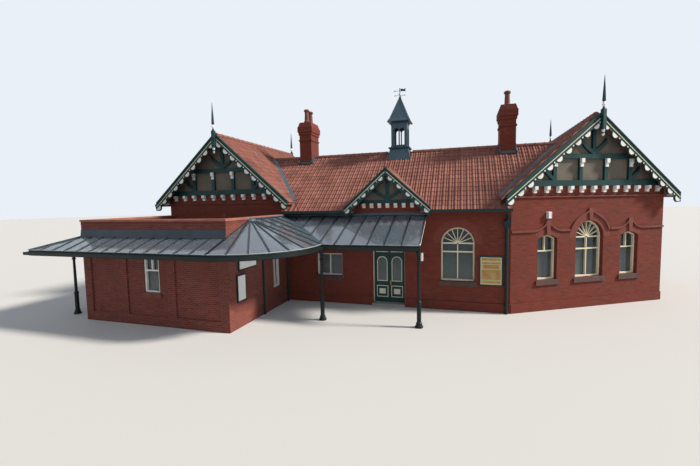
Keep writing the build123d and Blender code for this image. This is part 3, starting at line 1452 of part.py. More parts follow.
# Bare notice boards and a small lamp
with BuildPart() as notice_boards:
    with BuildSketch(front_face):
        with Locations((4300, 1750)):
            Rectangle(900, 1220)
    extrude(amount=45)
    with BuildSketch(low_side_face):
        with Locations((-3595, 2405)):
            Rectangle(1250, 430)
        with Locations((-4075, 1525)):
            Rectangle(570, 1030)
    extrude(amount=45)
    with BuildSketch(skew_gable_face):
        with Locations((skew_win_mid - side_off, 4010)):
            Rectangle(150, 260)
    extrude(amount=120)
notice_boards.part.label = "notice_boards"
export_step(notice_boards.part, "parts/notice_boards.step")
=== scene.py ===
import bpy, bmesh, math
from mathutils import Vector, Matrix


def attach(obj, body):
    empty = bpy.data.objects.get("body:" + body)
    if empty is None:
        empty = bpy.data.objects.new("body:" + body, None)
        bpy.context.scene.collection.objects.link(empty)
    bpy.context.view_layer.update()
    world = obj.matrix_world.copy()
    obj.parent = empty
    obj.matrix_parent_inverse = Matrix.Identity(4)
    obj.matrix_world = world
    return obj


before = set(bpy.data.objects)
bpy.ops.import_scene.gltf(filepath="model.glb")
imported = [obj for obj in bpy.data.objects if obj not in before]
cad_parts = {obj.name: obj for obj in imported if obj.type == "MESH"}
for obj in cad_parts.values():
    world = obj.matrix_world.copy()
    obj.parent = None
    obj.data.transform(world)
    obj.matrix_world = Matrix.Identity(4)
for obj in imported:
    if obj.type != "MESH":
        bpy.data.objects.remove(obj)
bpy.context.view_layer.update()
print("frame loaded")


# Materials: a number or colour is set on a socket, and anything else is linked to it
def feed(tree, socket, value):
    if isinstance(value, (int, float)):
        socket.default_value = value
    elif isinstance(value, tuple):
        socket.default_value = (*value, 1)
    else:
        tree.links.new(value, socket)


def setInputs(tree, node, **values):
    for label, value in values.items():
        feed(tree, node.inputs[label.replace("_", " ")], value)


def mathNode(tree, operation, first, second=None, clamp=False):
    node = tree.nodes.new("ShaderNodeMath")
    node.operation = operation
    node.use_clamp = clamp
    feed(tree, node.inputs[0], first)
    if second is not None:
        feed(tree, node.inputs[1], second)
    return node.outputs[0]


def times(tree, first, second):
    return mathNode(tree, "MULTIPLY", first, second)


def mixColour(tree, factor, first, second, blend="MIX"):
    node = tree.nodes.new("ShaderNodeMix")
    node.data_type = "RGBA"
    node.blend_type = blend
    for i, value in ((0, factor), (6, first), (7, second)):
        feed(tree, node.inputs[i], value)
    return node.outputs[2]


def noise(tree, coords, scale, detail, rough=0.55):
    node = tree.nodes.new("ShaderNodeTexNoise")
    setInputs(tree, node, Vector=coords, Scale=scale, Detail=detail, Roughness=rough)
    return node.outputs["Fac"]


def remap(tree, value, low, high, newLow=0.0, newHigh=1.0):
    node = tree.nodes.new("ShaderNodeMapRange")
    for i, item in enumerate((value, low, high, newLow, newHigh)):
        feed(tree, node.inputs[i], item)
    return node.outputs[0]


# Fine grain that darkens a colour
def grained(tree, colour, grain, darkest, share):
    shade = mixColour(tree, grain, (darkest,) * 3, (1.0, 1.0, 1.0))
    return mixColour(tree, share, colour, shade, "MULTIPLY")


# Shared effects, each a node group; an input's first value tells a colour, a number or a vector (None)
def newGroup(name, inputs, outputs):
    kinds = {tuple: "Color", float: "Float", type(None): "Vector"}
    group = bpy.data.node_groups.new(name, "ShaderNodeTree")
    for label, value in inputs.items():
        kind = "NodeSocket" + kinds[type(value)]
        socket = group.interface.new_socket(name=label, in_out="INPUT", socket_type=kind)
        if value is not None:
            feed(group, socket, value)
    for label, kind in outputs.items():
        group.interface.new_socket(name=label, in_out="OUTPUT", socket_type="NodeSocket" + kind)
    return group, group.nodes.new("NodeGroupInput").outputs, group.nodes.new("NodeGroupOutput")


coatOutputs = {"Color": "Color", "Roughness": "Float", "Height": "Float"}


# Position along a wall and up it, whichever way the wall faces
def makeWallCoords():
    group, given, out = newGroup("wallCoords", {"Coords": None, "Facing": None}, {"Flat": "Vector"})
    place = group.nodes.new("ShaderNodeSeparateXYZ")
    face = group.nodes.new("ShaderNodeSeparateXYZ")
    setInputs(group, place, Vector=given["Coords"])
    setInputs(group, face, Vector=given["Facing"])
    x, y, z = place.outputs
    faceX, faceY, faceZ = face.outputs
    squares = mathNode(group, "ADD", times(group, faceX, faceX), times(group, faceY, faceY))
    span = mathNode(group, "MAXIMUM", mathNode(group, "SQRT", squares), 0.05)
    along = mathNode(group, "SUBTRACT", times(group, y, faceX), times(group, x, faceY))
    along = mathNode(group, "DIVIDE", along, span)
    level = mathNode(group, "GREATER_THAN", mathNode(group, "ABSOLUTE", faceZ), 0.8)
    upright = mathNode(group, "SUBTRACT", 1.0, level)
    join = group.nodes.new("ShaderNodeCombineXYZ")
    setInputs(group, join, X=mathNode(group, "ADD", times(group, along, upright), times(group, x, level)),
              Y=mathNode(group, "ADD", times(group, z, upright), times(group, y, level)))
    setInputs(group, out, Flat=join.outputs[0])
    return group


# Courses of pressed brick with thin pointing, burnt headers and soot
def makeBrickwork():
    inputs = {"Flat": None, "Coords": None, "Brick": (0.3, 0.07, 0.04), "Burnt": (0.15, 0.035, 0.03),
              "Pale": (0.42, 0.13, 0.07), "Mortar": (0.2, 0.13, 0.1), "Soot": 0.25, "Joint": 0.007}
    group, given, out = newGroup("brickwork", inputs, coatOutputs)
    courses = group.nodes.new("ShaderNodeTexBrick")
    courses.offset = 0.5
    setInputs(group, courses, Vector=given["Flat"], Mortar_Size=given["Joint"], Scale=1.0, Mortar_Smooth=0.3,
              Brick_Width=0.2275, Row_Height=0.075, Color1=(0, 0, 0), Color2=(1, 1, 1))
    tone = group.nodes.new("ShaderNodeSeparateColor")
    group.links.new(courses.outputs["Color"], tone.inputs[0])
    blotch = noise(group, given["Coords"], 0.9, 4)
    grain = noise(group, given["Coords"], 60, 2)
    burnt = remap(group, tone.outputs[0], 0.72, 1.0, 0.0, 0.75)
    pale = remap(group, tone.outputs[0], 0.3, 0.0, 0.0, 0.6)
    colour = mixColour(group, burnt, given["Brick"], given["Burnt"])
    colour = mixColour(group, pale, colour, given["Pale"])
    colour = mixColour(group, courses.outputs["Fac"], colour, given["Mortar"])
    streaks = times(group, remap(group, blotch, 0.45, 0.7), given["Soot"])
    colour = grained(group, mixColour(group, streaks, colour, (0.06, 0.035, 0.03)), grain, 0.6, 0.3)
    deep = mathNode(group, "SUBTRACT", times(group, grain, 0.3), courses.outputs["Fac"])
    setInputs(group, out, Color=colour, Roughness=remap(group, grain, 0.2, 0.8, 0.78, 0.95), Height=deep)
    return group


# Dirt, rain streaks and fading over any plain coat
def makeWeathering():
    inputs = {"Coords": None, "Color": (0.5, 0.5, 0.5), "Dirt": (0.08, 0.07, 0.06), "Dirt Amount": 0.4,
              "Fade": (0.6, 0.6, 0.6), "Fade Amount": 0.2, "Scale": 3.0, "Grain Scale": 90.0,
              "Base Roughness": 0.5}
    group, given, out = newGroup("weathering", inputs, coatOutputs)
    stretch = group.nodes.new("ShaderNodeMapping")
    stretch.inputs["Scale"].default_value = (1, 1, 0.22)
    setInputs(group, stretch, Vector=given["Coords"])
    streaks = noise(group, stretch.outputs[0], given["Scale"], 5, 0.5)
    patches = noise(group, given["Coords"], given["Scale"], 3, 0.5)
    grain = noise(group, given["Coords"], given["Grain Scale"], 2, 0.5)
    dirty = times(group, remap(group, streaks, 0.48, 0.72), given["Dirt Amount"])
    faded = times(group, remap(group, patches, 0.45, 0.7), given["Fade Amount"])
    colour = mixColour(group, faded, given["Color"], given["Fade"])
    colour = grained(group, mixColour(group, dirty, colour, given["Dirt"]), grain, 0.55, 0.22)
    rough = mathNode(group, "ADD", given["Base Roughness"], times(group, dirty, 0.35), True)
    rough = mathNode(group, "ADD", rough, remap(group, grain, 0.3, 0.7, -0.04, 0.04), True)
    setInputs(group, out, Color=colour, Roughness=rough, Height=grain)
    return group


wallCoords, brickwork, weathering = makeWallCoords(), makeBrickwork(), makeWeathering()


def startMaterial(name):
    mat = bpy.data.materials.new(name)
    mat.use_nodes = True
    tree = mat.node_tree
    coords = tree.nodes.new("ShaderNodeTexCoord").outputs["Object"]
    return mat, tree, tree.nodes["Principled BSDF"], coords


def placeGroup(tree, group, **values):
    node = tree.nodes.new("ShaderNodeGroup")
    node.node_tree = group
    setInputs(tree, node, **values)
    return node.outputs


def bumpFrom(tree, shader, height, strength, distance):
    bump = tree.nodes.new("ShaderNodeBump")
    setInputs(tree, bump, Strength=strength, Distance=distance, Height=height)
    setInputs(tree, shader, Normal=bump.outputs[0])


def dressShader(tree, shader, coat, shine, bump, distance=0.004):
    setInputs(tree, shader, Base_Color=coat["Color"], Roughness=coat["Roughness"], Specular_IOR_Level=shine)
    bumpFrom(tree, shader, coat["Height"], bump, distance)


def brickMaterial(name, soot, **colours):
    mat, tree, shader, coords = startMaterial(name)
    facing = tree.nodes.new("ShaderNodeNewGeometry").outputs["Normal"]
    flat = placeGroup(tree, wallCoords, Coords=coords, Facing=facing)["Flat"]
    wall = placeGroup(tree, brickwork, Flat=flat, Coords=coords, Soot=soot, **colours)
    dressShader(tree, shader, wall, 0.2, 0.6, 0.006)
    return mat


# A mask that is 1 inside a box of the object's own space
def insideBox(tree, coords, low, high):
    spot = tree.nodes.new("ShaderNodeSeparateXYZ")
    setInputs(tree, spot, Vector=coords)
    mask = 1.0
    for axis in range(3):
        mask = times(tree, mask, mathNode(tree, "GREATER_THAN", spot.outputs[axis], low[axis]))
        mask = times(tree, mask, mathNode(tree, "LESS_THAN", spot.outputs[axis], high[axis]))
    return mask


# A plain coat, with another colour inside the boxes where some are given
def coatMaterial(name, colour, roughness, dirt, dirtColour, fade, fadeColour=None, scale=2.5, grain=90.0,
                 bump=0.15, metallic=0.0, shine=0.5, boxes=(), boxColour=None):
    mat, tree, shader, coords = startMaterial(name)
    fadeColour = fadeColour or tuple(min(1, share * 1.35 + 0.02) for share in colour)
    for low, high in boxes:
        colour = mixColour(tree, insideBox(tree, coords, low, high), colour, boxColour)
    worn = placeGroup(tree, weathering, Coords=coords, Color=colour, Dirt=dirtColour, Dirt_Amount=dirt,
                      Fade=fadeColour, Fade_Amount=fade, Scale=scale, Grain_Scale=grain,
                      Base_Roughness=roughness)
    setInputs(tree, shader, Metallic=metallic)
    dressShader(tree, shader, worn, shine, bump)
    return mat


def tileMaterial(name, base, warm, dark):
    mat, tree, shader, coords = startMaterial(name)
    cell = tree.nodes.new("ShaderNodeUVMap")
    cell.uv_map = "tileCell"
    pick = tree.nodes.new("ShaderNodeTexWhiteNoise")
    pick.noise_dimensions = "2D"
    setInputs(tree, pick, Vector=cell.outputs[0])
    tone = pick.outputs["Value"]
    colour = mixColour(tree, remap(tree, tone, 0.62, 1.0, 0.0, 0.75), base, warm)
    colour = mixColour(tree, remap(tree, tone, 0.35, 0.0, 0.0, 0.7), colour, dark)
    worn = placeGroup(tree, weathering, Coords=coords, Color=colour, Dirt=(0.065, 0.026, 0.022),
                      Dirt_Amount=0.4, Fade=(0.28, 0.125, 0.092), Fade_Amount=0.3, Scale=0.8,
                      Grain_Scale=45.0, Base_Roughness=0.7)
    dressShader(tree, shader, worn, 0.3, 0.3)
    return mat


def glassMaterial(name, tint, low, transmission, roughness, ripple, dust):
    mat, tree, shader, coords = startMaterial(name)
    wave = noise(tree, coords, 1.3, 3)
    grime = noise(tree, coords, 4.5, 4)
    height = tree.nodes.new("ShaderNodeSeparateXYZ")
    setInputs(tree, height, Vector=coords)
    # Painted reflection: the glass goes from its tint above 3.0 m to the paler low colour at 1.2 m and below
    colour = mixColour(tree, remap(tree, height.outputs[2], 3.0, 1.2), tint, low)
    colour = mixColour(tree, remap(tree, grime, 0.4, 0.75, 0.0, dust), colour, (0.42, 0.44, 0.42))
    rough = remap(tree, grime, 0.4, 0.8, roughness, roughness + 0.15)
    setInputs(tree, shader, Base_Color=colour, Roughness=rough, Transmission_Weight=transmission,
              Specular_Tint=(0.7, 0.85, 1.0), IOR=1.5)
    bumpFrom(tree, shader, wave, ripple, 0.02)
    return mat


# Boxes round the low building's windows and the wide window under the canopy
lowWindows = ((-12.0, -5.5, 0.5), (-4.0, -0.02, 3.2))
wideWindow = ((-3.7, -0.1, 0.5), (-2.0, 0.5, 2.6))
# Each coat: its name, colour, roughness, dirt, dirt's colour, fading, faded colour, scale, grain and bump
coats = {
    "windowPaint": ("windowPaint", (0.7, 0.64, 0.46), 0.42, 0.3, (0.3, 0.26, 0.18), 0.15, (0.78, 0.74, 0.62)),
    "sills": ("windowSills", (0.07, 0.036, 0.03), 0.8, 0.4, (0.035, 0.025, 0.022), 0.3, (0.11, 0.065, 0.055),
              3.0, 70.0, 0.4),
    "flashing": ("wallFlashing", (0.016, 0.03, 0.048), 0.5, 0.4, (0.012, 0.02, 0.03),
                 0.3, (0.03, 0.05, 0.075), 1.8, 40.0, 0.25),
    "mouldedBrick": ("mouldedBrick", (0.14, 0.03, 0.02), 0.8, 0.4, (0.06, 0.02, 0.016),
                     0.3, (0.19, 0.05, 0.032), 3.0, 70.0, 0.3),
    "rubbedBrick": ("rubbedBrick", (0.155, 0.028, 0.018), 0.8, 0.3, (0.08, 0.02, 0.015),
                    0.4, (0.2, 0.042, 0.026), 6.0, 70.0, 0.3),
    "cupola": ("cupolaSlate", (0.018, 0.05, 0.075), 0.5, 0.4, (0.012, 0.025, 0.045),
               0.4, (0.035, 0.085, 0.12), 2.5, 50.0, 0.25),
    "coping": ("copingBrick", (0.3, 0.1, 0.07), 0.85, 0.4, (0.12, 0.05, 0.04), 0.4, (0.42, 0.19, 0.14),
               2.0, 60.0, 0.3),
    "canopyIron": ("canopyPaint", (0.005, 0.01, 0.011), 0.45, 0.3, (0.015, 0.016, 0.015), 0.3,
                   (0.012, 0.024, 0.025)),
    "potClay": ("potClay", (0.13, 0.035, 0.024), 0.75, 0.5, (0.05, 0.02, 0.016), 0.3, (0.18, 0.06, 0.04),
                6.0, 60.0, 0.3),
    "brass": ("brass", (0.5, 0.36, 0.14), 0.35, 0.2, (0.15, 0.1, 0.05), 0.2),
    "posterBand": ("posterBand", (0.36, 0.2, 0.05), 0.6, 0.4, (0.3, 0.07, 0.03), 0.4, (0.5, 0.42, 0.2), 4.0),
    "posterGround": ("posterGround", (0.46, 0.4, 0.17), 0.55, 0.2, (0.3, 0.26, 0.12), 0.2),
    # Pale grey strips along the canopy glass's edges, painted as a highlight
    "canopyEdge": ("paintedEdgeHighlights", (0.42, 0.45, 0.44), 0.4, 0.3, (0.2, 0.22, 0.22), 0.2),
    "joinery_green": ("tealPaint", (0.004, 0.036, 0.036), 0.45, 0.3, (0.012, 0.02, 0.018), 0.3,
                      (0.008, 0.058, 0.056)),
    "render": ("roughcast", (0.12, 0.1, 0.078), 0.92, 0.5, (0.06, 0.05, 0.042), 0.4, (0.17, 0.145, 0.12),
               1.6, 55.0, 0.6),
    "white_paint": ("whitePaint", (0.72, 0.72, 0.68), 0.45, 0.35, (0.3, 0.28, 0.24), 0.2, (0.8, 0.8, 0.76)),
    "cream_paint": ("creamPaint", (0.7, 0.64, 0.46), 0.42, 0.3, (0.3, 0.26, 0.18), 0.25, (0.78, 0.72, 0.56)),
    "lead": ("leadSheet", (0.028, 0.055, 0.078), 0.5, 0.4, (0.018, 0.03, 0.042), 0.45, (0.055, 0.095, 0.125),
             1.8, 40.0, 0.25),
    "iron_green": ("ironPaint", (0.004, 0.022, 0.023), 0.45, 0.3, (0.012, 0.016, 0.015), 0.25,
                   (0.008, 0.036, 0.037)),
    "canopy_bars": ("glazingBars", (0.012, 0.018, 0.022), 0.4, 0.3, (0.03, 0.03, 0.03), 0.3,
                    (0.03, 0.04, 0.05)),
    "floor": ("stoneFloor", (0.3, 0.28, 0.25), 0.8, 0.4, (0.14, 0.12, 0.1), 0.3, None, 1.2, 40.0, 0.3),
    "board": ("signBoard", (0.62, 0.6, 0.5), 0.5, 0.25, (0.35, 0.32, 0.25), 0.2),
    "tile": ("ridgeClay", (0.19, 0.062, 0.045), 0.7, 0.4, (0.09, 0.032, 0.026), 0.35, (0.26, 0.1, 0.072),
             1.5, 45.0, 0.3)}
more = {"windowPaint": {"boxes": (lowWindows, wideWindow), "boxColour": (0.76, 0.76, 0.73)},
        "sills": {"boxes": (lowWindows,), "boxColour": (0.17, 0.038, 0.025)}, "brass": {"metallic": 0.8},
        "canopyIron": {"shine": 0.25}, "joinery_green": {"shine": 0.25}, "iron_green": {"shine": 0.25}}
finishes = {key: coatMaterial(*values, **more.get(key, {})) for key, values in coats.items()}
finishes.update({
    "brick": brickMaterial("redBrick", 0.25, Brick=(0.165, 0.034, 0.021), Burnt=(0.115, 0.026, 0.019),
                           Pale=(0.205, 0.047, 0.029), Mortar=(0.115, 0.036, 0.028)),
    "lowBrick": brickMaterial("rangeBrick", 0.2, Brick=(0.155, 0.036, 0.026), Burnt=(0.095, 0.025, 0.022),
                              Pale=(0.21, 0.06, 0.042), Mortar=(0.2, 0.105, 0.085)),
    "pantile": tileMaterial("pantileClay", (0.2, 0.07, 0.05), (0.27, 0.11, 0.08), (0.125, 0.042, 0.034)),
    # The window glass's second colour is a painted reflection on its lower panes
    "glass": glassMaterial("windowGlass", (0.02, 0.026, 0.028), (0.12, 0.135, 0.125), 0.25, 0.03, 0.05, 0.08),
    "canopyGlass": glassMaterial("canopyGlass", (0.5, 0.61, 0.71), (0.5, 0.61, 0.71), 0.88, 0.04, 0.08, 0.22)})

# Each node takes the finish named by its own material, unless it has another here
special = {"window_frames": "windowPaint", "window_sills": "sills", "lead_flashings": "flashing",
           "canopy_glass": "canopyGlass", "canopy_gutter": "canopyIron", "canopy_posts": "canopyIron",
           "canopy_frame": "canopyIron", "cupola_roof": "cupola", "cupola_base": "cupola",
           "cupola_lantern": "cupola", "chimney_pots": "potClay", "hood_moulds": "mouldedBrick",
           "low_coping": "coping", "low_front_wall": "lowBrick", "low_side_wall": "lowBrick",
           "low_end_wall": "lowBrick", "notice_boards": "posterGround"}
for name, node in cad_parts.items():
    for slot in node.material_slots:
        slot.material = finishes[special.get(name) or slot.material.name.split(".")[0]]
print("finishes made")

# Sizes that the roofs and walls share
house = {"depth": 7.3, "middle": 3.65, "ridge": 7.3, "eave": 4.35, "overhang": 0.37, "wingX": 8.425,
         "wingRidge": 8.15, "wingEave": 4.8, "wingHalf": 3.795, "wingOut": 0.5, "gableRidge": 6.12,
         "gableEave": 4.4, "gableHalf": 1.9, "skewY": 1.9486, "skewTurn": 30, "skewOut": 0.3,
         "rightRear": 9.4, "outerX": 11.8, "lowX": -4.91, "lowY": -4.85}
rise = {"main": (house["ridge"] - house["eave"]) / (house["middle"] + house["overhang"]),
        "wing": (house["wingRidge"] - house["wingEave"]) / house["wingHalf"],
        "gable": (house["gableRidge"] - house["gableEave"]) / house["gableHalf"]}
middle, depth, wingX = house["middle"], house["depth"], house["wingX"]

# Pantiles, laid course by course up each slope and cut to the valleys and verges
tiling = {"cover": 0.25, "gauge": 0.335, "roll": 0.03, "rollShare": 0.42, "pan": 0.012, "rib": 0.03,
          "ribShare": (0.28, 0.72), "lap": 0.02, "head": 0.004, "bed": 0.004, "steps": 12}


def tileWave(part):
    rollShare = tiling["rollShare"]
    if part < rollShare:
        return tiling["roll"] * math.sin(math.pi * part / rollShare)
    across = (part - rollShare) / (1 - rollShare)
    start, end = tiling["ribShare"]
    rib = math.sin(math.pi * (across - start) / (end - start)) if start < across < end else 0
    return tiling["rib"] * max(0, rib) - tiling["pan"] * math.sin(math.pi * across)


def layTiles(bm, cell, corner, along, up, width, length):
    corner, along, up = Vector(corner), Vector(along).normalized(), Vector(up).normalized()
    out = along.cross(up)
    if out.z < 0:
        out = -out
    cover, gauge, bed = tiling["cover"], tiling["gauge"], tiling["bed"] + tiling["pan"]
    columns, lifts = math.ceil(width / cover), (0, tiling["lap"], tiling["head"])
    across = columns * tiling["steps"]
    for row in range(math.ceil(length / gauge)):
        made = bmesh.ops.create_grid(bm, x_segments=across, y_segments=2, size=0.5)["verts"]
        top = min((row + 1) * gauge, length)
        for vert in made:
            run = (vert.co.x + 0.5) * columns * cover
            level = round((vert.co.y + 0.5) * 2)
            climb = top if level == 2 else row * gauge
            lift = bed + tileWave((run / cover) % 1.0) + lifts[level]
            vert.co = corner + along * run + up * climb + out * lift
        for face in {face for vert in made for face in vert.link_faces}:
            column = math.floor((face.calc_center_median() - corner).dot(along) / cover)
            for loop in face.loops:
                loop[cell].uv = (column + 0.5, row + 0.5)


def cutPlane(bm, point, normal, clear=True):
    everything = bm.verts[:] + bm.edges[:] + bm.faces[:]
    bmesh.ops.bisect_plane(bm, geom=everything, plane_co=point, plane_no=normal, clear_outer=clear)


def dropFaces(bm, unwanted):
    doomed = [face for face in bm.faces if unwanted(face.calc_center_median())]
    bmesh.ops.delete(bm, geom=doomed, context="FACES")


# The piece's slot holds the finish that is named
def finishPiece(bm, name, finish, body="house", smooth=False, tidy=True):
    if tidy:
        bmesh.ops.remove_doubles(bm, verts=bm.verts, dist=0.00005)
        bmesh.ops.recalc_face_normals(bm, faces=bm.faces)
    mesh = bpy.data.meshes.new(name)
    bm.to_mesh(mesh)
    bm.free()
    piece = bpy.data.objects.new(name, mesh)
    bpy.context.scene.collection.objects.link(piece)
    mesh.materials.append(finishes[finish])
    if smooth:
        mesh.polygons.foreach_set("use_smooth", [True] * len(mesh.polygons))
    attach(piece, body)


def openTiles():
    bm = bmesh.new()
    return bm, bm.loops.layers.uv.new("tileCell")


def finishTiles(bm, name):
    finishPiece(bm, name, "pantile", tidy=False)


frontRun, rearRun = Vector((0, -rise["main"], 1)), Vector((0, rise["main"], 1))
frontEave = Vector((0, -house["overhang"], house["eave"]))
rearEave = Vector((0, depth + house["overhang"], house["eave"]))
gableRidge = Vector((0, 0, house["gableRidge"]))

mainTiles = {"endX": 9.1775, "past": 0.4, "foot": 4.273, "width": 18.5, "length": 5.0}
bm, cell = openTiles()
for side, y in ((-1, -mainTiles["past"]), (1, depth + mainTiles["past"])):
    layTiles(bm, cell, (side * mainTiles["endX"], y, mainTiles["foot"]), (-side, 0, 0),
             (0, -side, rise["main"]), mainTiles["width"], mainTiles["length"])
for side in (-1, 1):
    cutPlane(bm, (side * wingX, 0, house["wingRidge"]), (side * rise["wing"], 0, -1))
for side in (-1, 1):
    cutPlane(bm, gableRidge, (side * rise["gable"], 0, 1), clear=False)
cutPlane(bm, gableRidge, (1, 0, 0), clear=False)
dropFaces(bm, lambda spot: spot.y < middle and spot.z + rise["gable"] * abs(spot.x) < gableRidge.z)
finishTiles(bm, "mainPantiles")

wingTiles = {"footX": 3.82, "foot": 4.719, "length": 5.04, "columns": 27.71, "skewWay": (0.5, -0.866, 0)}
wingRoofs = {"left": {"side": -1, "front": -0.5, "rear": 7.8, "pan": 3.65},
             "right": {"side": 1, "front": -1.2, "rear": 9.9, "pan": 3.45}}
for wing, roof in wingRoofs.items():
    bm, cell = openTiles()
    mid, reach = roof["side"] * wingX, tiling["cover"] * wingTiles["columns"]
    for side in (-1, 1):
        layTiles(bm, cell, (mid + side * wingTiles["footX"], roof["pan"] + side * reach, wingTiles["foot"]),
                 (0, -side, 0), (-side, 0, rise["wing"]), 2 * reach, wingTiles["length"])
    cutPlane(bm, (0, roof["front"], 0), (0, -1, 0))
    cutPlane(bm, (0, roof["rear"], 0), (0, 1, 0))
    if wing == "right":
        skewWay = Vector(wingTiles["skewWay"])
        cutPlane(bm, Vector((wingX, house["skewY"], 0)) + skewWay * house["skewOut"], skewWay)
    cutPlane(bm, (0, middle, 0), (0, 1, 0), clear=False)
    cutPlane(bm, frontEave, frontRun, clear=False)
    cutPlane(bm, rearEave, rearRun, clear=False)
    dropFaces(bm, lambda spot: roof["side"] * (mid - spot.x) > 0 and (spot - frontEave).dot(frontRun) < 0
              and (spot - rearEave).dot(rearRun) < 0)
    finishTiles(bm, wing + "WingPantiles")

gableTiles = {"footX": 1.93, "foot": 4.314, "length": 2.58, "front": -0.43,
              "runs": ((-0.5675, 3.0), (2.7875, 3.5))}
bm, cell = openTiles()
for side, (start, width) in zip((-1, 1), gableTiles["runs"]):
    layTiles(bm, cell, (side * gableTiles["footX"], start, gableTiles["foot"]), (0, -side, 0),
             (-side, 0, rise["gable"]), width, gableTiles["length"])
cutPlane(bm, frontEave, -frontRun)
cutPlane(bm, (0, gableTiles["front"], 0), (0, -1, 0))
finishTiles(bm, "entranceGablePantiles")
print("roofs tiled")


# Building blocks: a wall's own place runs along it, inward from its face, and up
def wallPlace(x, y, turn=0):
    return Matrix.Translation((x, y, 0)) @ Matrix.Rotation(math.radians(turn), 4, "Z")


places = {"front": wallPlace(0, 0), "leftGable": wallPlace(-wingX, 0),
          "skewGable": wallPlace(wingX, house["skewY"], house["skewTurn"]), "rear": wallPlace(0, depth, 180),
          "leftRear": wallPlace(-wingX, depth, 180), "rightRear": wallPlace(wingX, house["rightRear"], 180),
          "lowFront": wallPlace(0, house["lowY"]), "flank": wallPlace(house["lowX"], 0, 90),
          "leftSide": wallPlace(-house["outerX"], 0, -90), "rightSide": wallPlace(house["outerX"], 0, 90)}
unmoved = Matrix()
sharpest = 0.3  # limits how far a moulding's mitre reaches at a sharp corner


def addBlock(bm, low, high, place=unmoved):
    made = bmesh.ops.create_cube(bm, size=1)["verts"]
    for vert in made:
        vert.co = place @ Vector([low[i] + (vert.co[i] + 0.5) * (high[i] - low[i]) for i in range(3)])


def addPrism(bm, points, front, back, place=unmoved):
    face = bm.faces.new([bm.verts.new(place @ Vector((x, front, z))) for x, z in points])
    made = bmesh.ops.extrude_face_region(bm, geom=[face])["geom"]
    push = place.to_3x3() @ Vector((0, back - front, 0))
    bmesh.ops.translate(bm, vec=push, verts=[part for part in made if isinstance(part, bmesh.types.BMVert)])


# A moulding swept along a path on the wall; its section is given as across and inward
def addMoulding(bm, path, section, place=unmoved, closed=False):
    count, rings = len(path), []
    for i in range(count):
        here = Vector(path[i])
        before = here - Vector(path[i - 1]) if closed or i else Vector(path[1]) - here
        after = Vector(path[(i + 1) % count]) - here if closed or i < count - 1 else before
        before, after = before.normalized(), after.normalized()
        side = Vector((-before.y - after.y, before.x + after.x)).normalized()
        side /= max(sharpest, side.dot(Vector((-before.y, before.x))))
        spots = [(here + side * across, inward) for across, inward in section]
        rings.append([bm.verts.new(place @ Vector((spot.x, inward, spot.y))) for spot, inward in spots])
    pairs = list(zip(rings, rings[1:] + rings[:1]))
    for one, two in pairs if closed else pairs[:-1]:
        for i in range(len(section)):
            after = (i + 1) % len(section)
            bm.faces.new((one[i], one[after], two[after], two[i]))
    if not closed:
        bm.faces.new(rings[0])
        bm.faces.new(rings[-1][::-1])


def bead(width, face, out):
    return [(-width / 2, face), (-width / 2, face - out * 0.6), (-width / 5, face - out),
            (width / 5, face - out), (width / 2, face - out * 0.6), (width / 2, face)]


def flatSection(half, back, front):
    return [(-half, back), (-half, front), (half, front), (half, back)]


def addLathe(bm, profile, x, y, place=unmoved, steps=20):
    verts = [bm.verts.new(place @ Vector((x + radius, y, z))) for radius, z in profile]
    edges = [bm.edges.new(pair) for pair in zip(verts, verts[1:])]
    bmesh.ops.spin(bm, geom=verts + edges, cent=place @ Vector((x, y, 0)), axis=(0, 0, 1), angle=math.tau,
                   steps=steps, use_merge=True)


def addRod(bm, start, end, radius, steps=12, place=unmoved):
    start, end = place @ Vector(start), place @ Vector(end)
    turn = (end - start).to_track_quat("Z", "Y").to_matrix().to_4x4()
    bmesh.ops.create_cone(bm, cap_ends=True, segments=steps, radius1=radius, radius2=radius,
                          depth=(end - start).length, matrix=Matrix.Translation((start + end) / 2) @ turn)


def addBall(bm, spot, radius, place=unmoved):
    bmesh.ops.create_icosphere(bm, subdivisions=2, radius=radius, matrix=place @ Matrix.Translation(spot))


# A flat bar lying on the line between two points
def addBar(bm, start, end, width, height):
    start, end = Vector(start), Vector(end)
    side = (end - start).cross(Vector((0, 0, 1))).normalized() * width
    up = side.cross(end - start).normalized()
    for vert in bmesh.ops.create_cube(bm, size=1)["verts"]:
        x, y, z = vert.co
        vert.co = start + (end - start) * (x + 0.5) + side * y + up * (height * (z + 0.5))


def archPath(mid, halfWidth, foot, spring, arch, steps=16):
    turns = [math.pi * i / steps for i in range(steps + 1)]
    arc = [(mid - halfWidth * math.cos(turn), spring + arch * math.sin(turn)) for turn in turns]
    return [(mid - halfWidth, foot)] + arc + [(mid + halfWidth, foot)]


def boxPath(mid, level, width, height):
    return [(mid - width / 2, level - height / 2), (mid - width / 2, level + height / 2),
            (mid + width / 2, level + height / 2), (mid + width / 2, level - height / 2)]


# A bead round a box given by its middle, level, width and height
def addFrame(bm, box, width, face, out, place=unmoved):
    addMoulding(bm, boxPath(*box), bead(width, face, out), place, closed=True)


def spread(start, end, gap):
    count = max(1, round(abs(end - start) / gap))
    return [start + (end - start) * i / count for i in range(count + 1)]


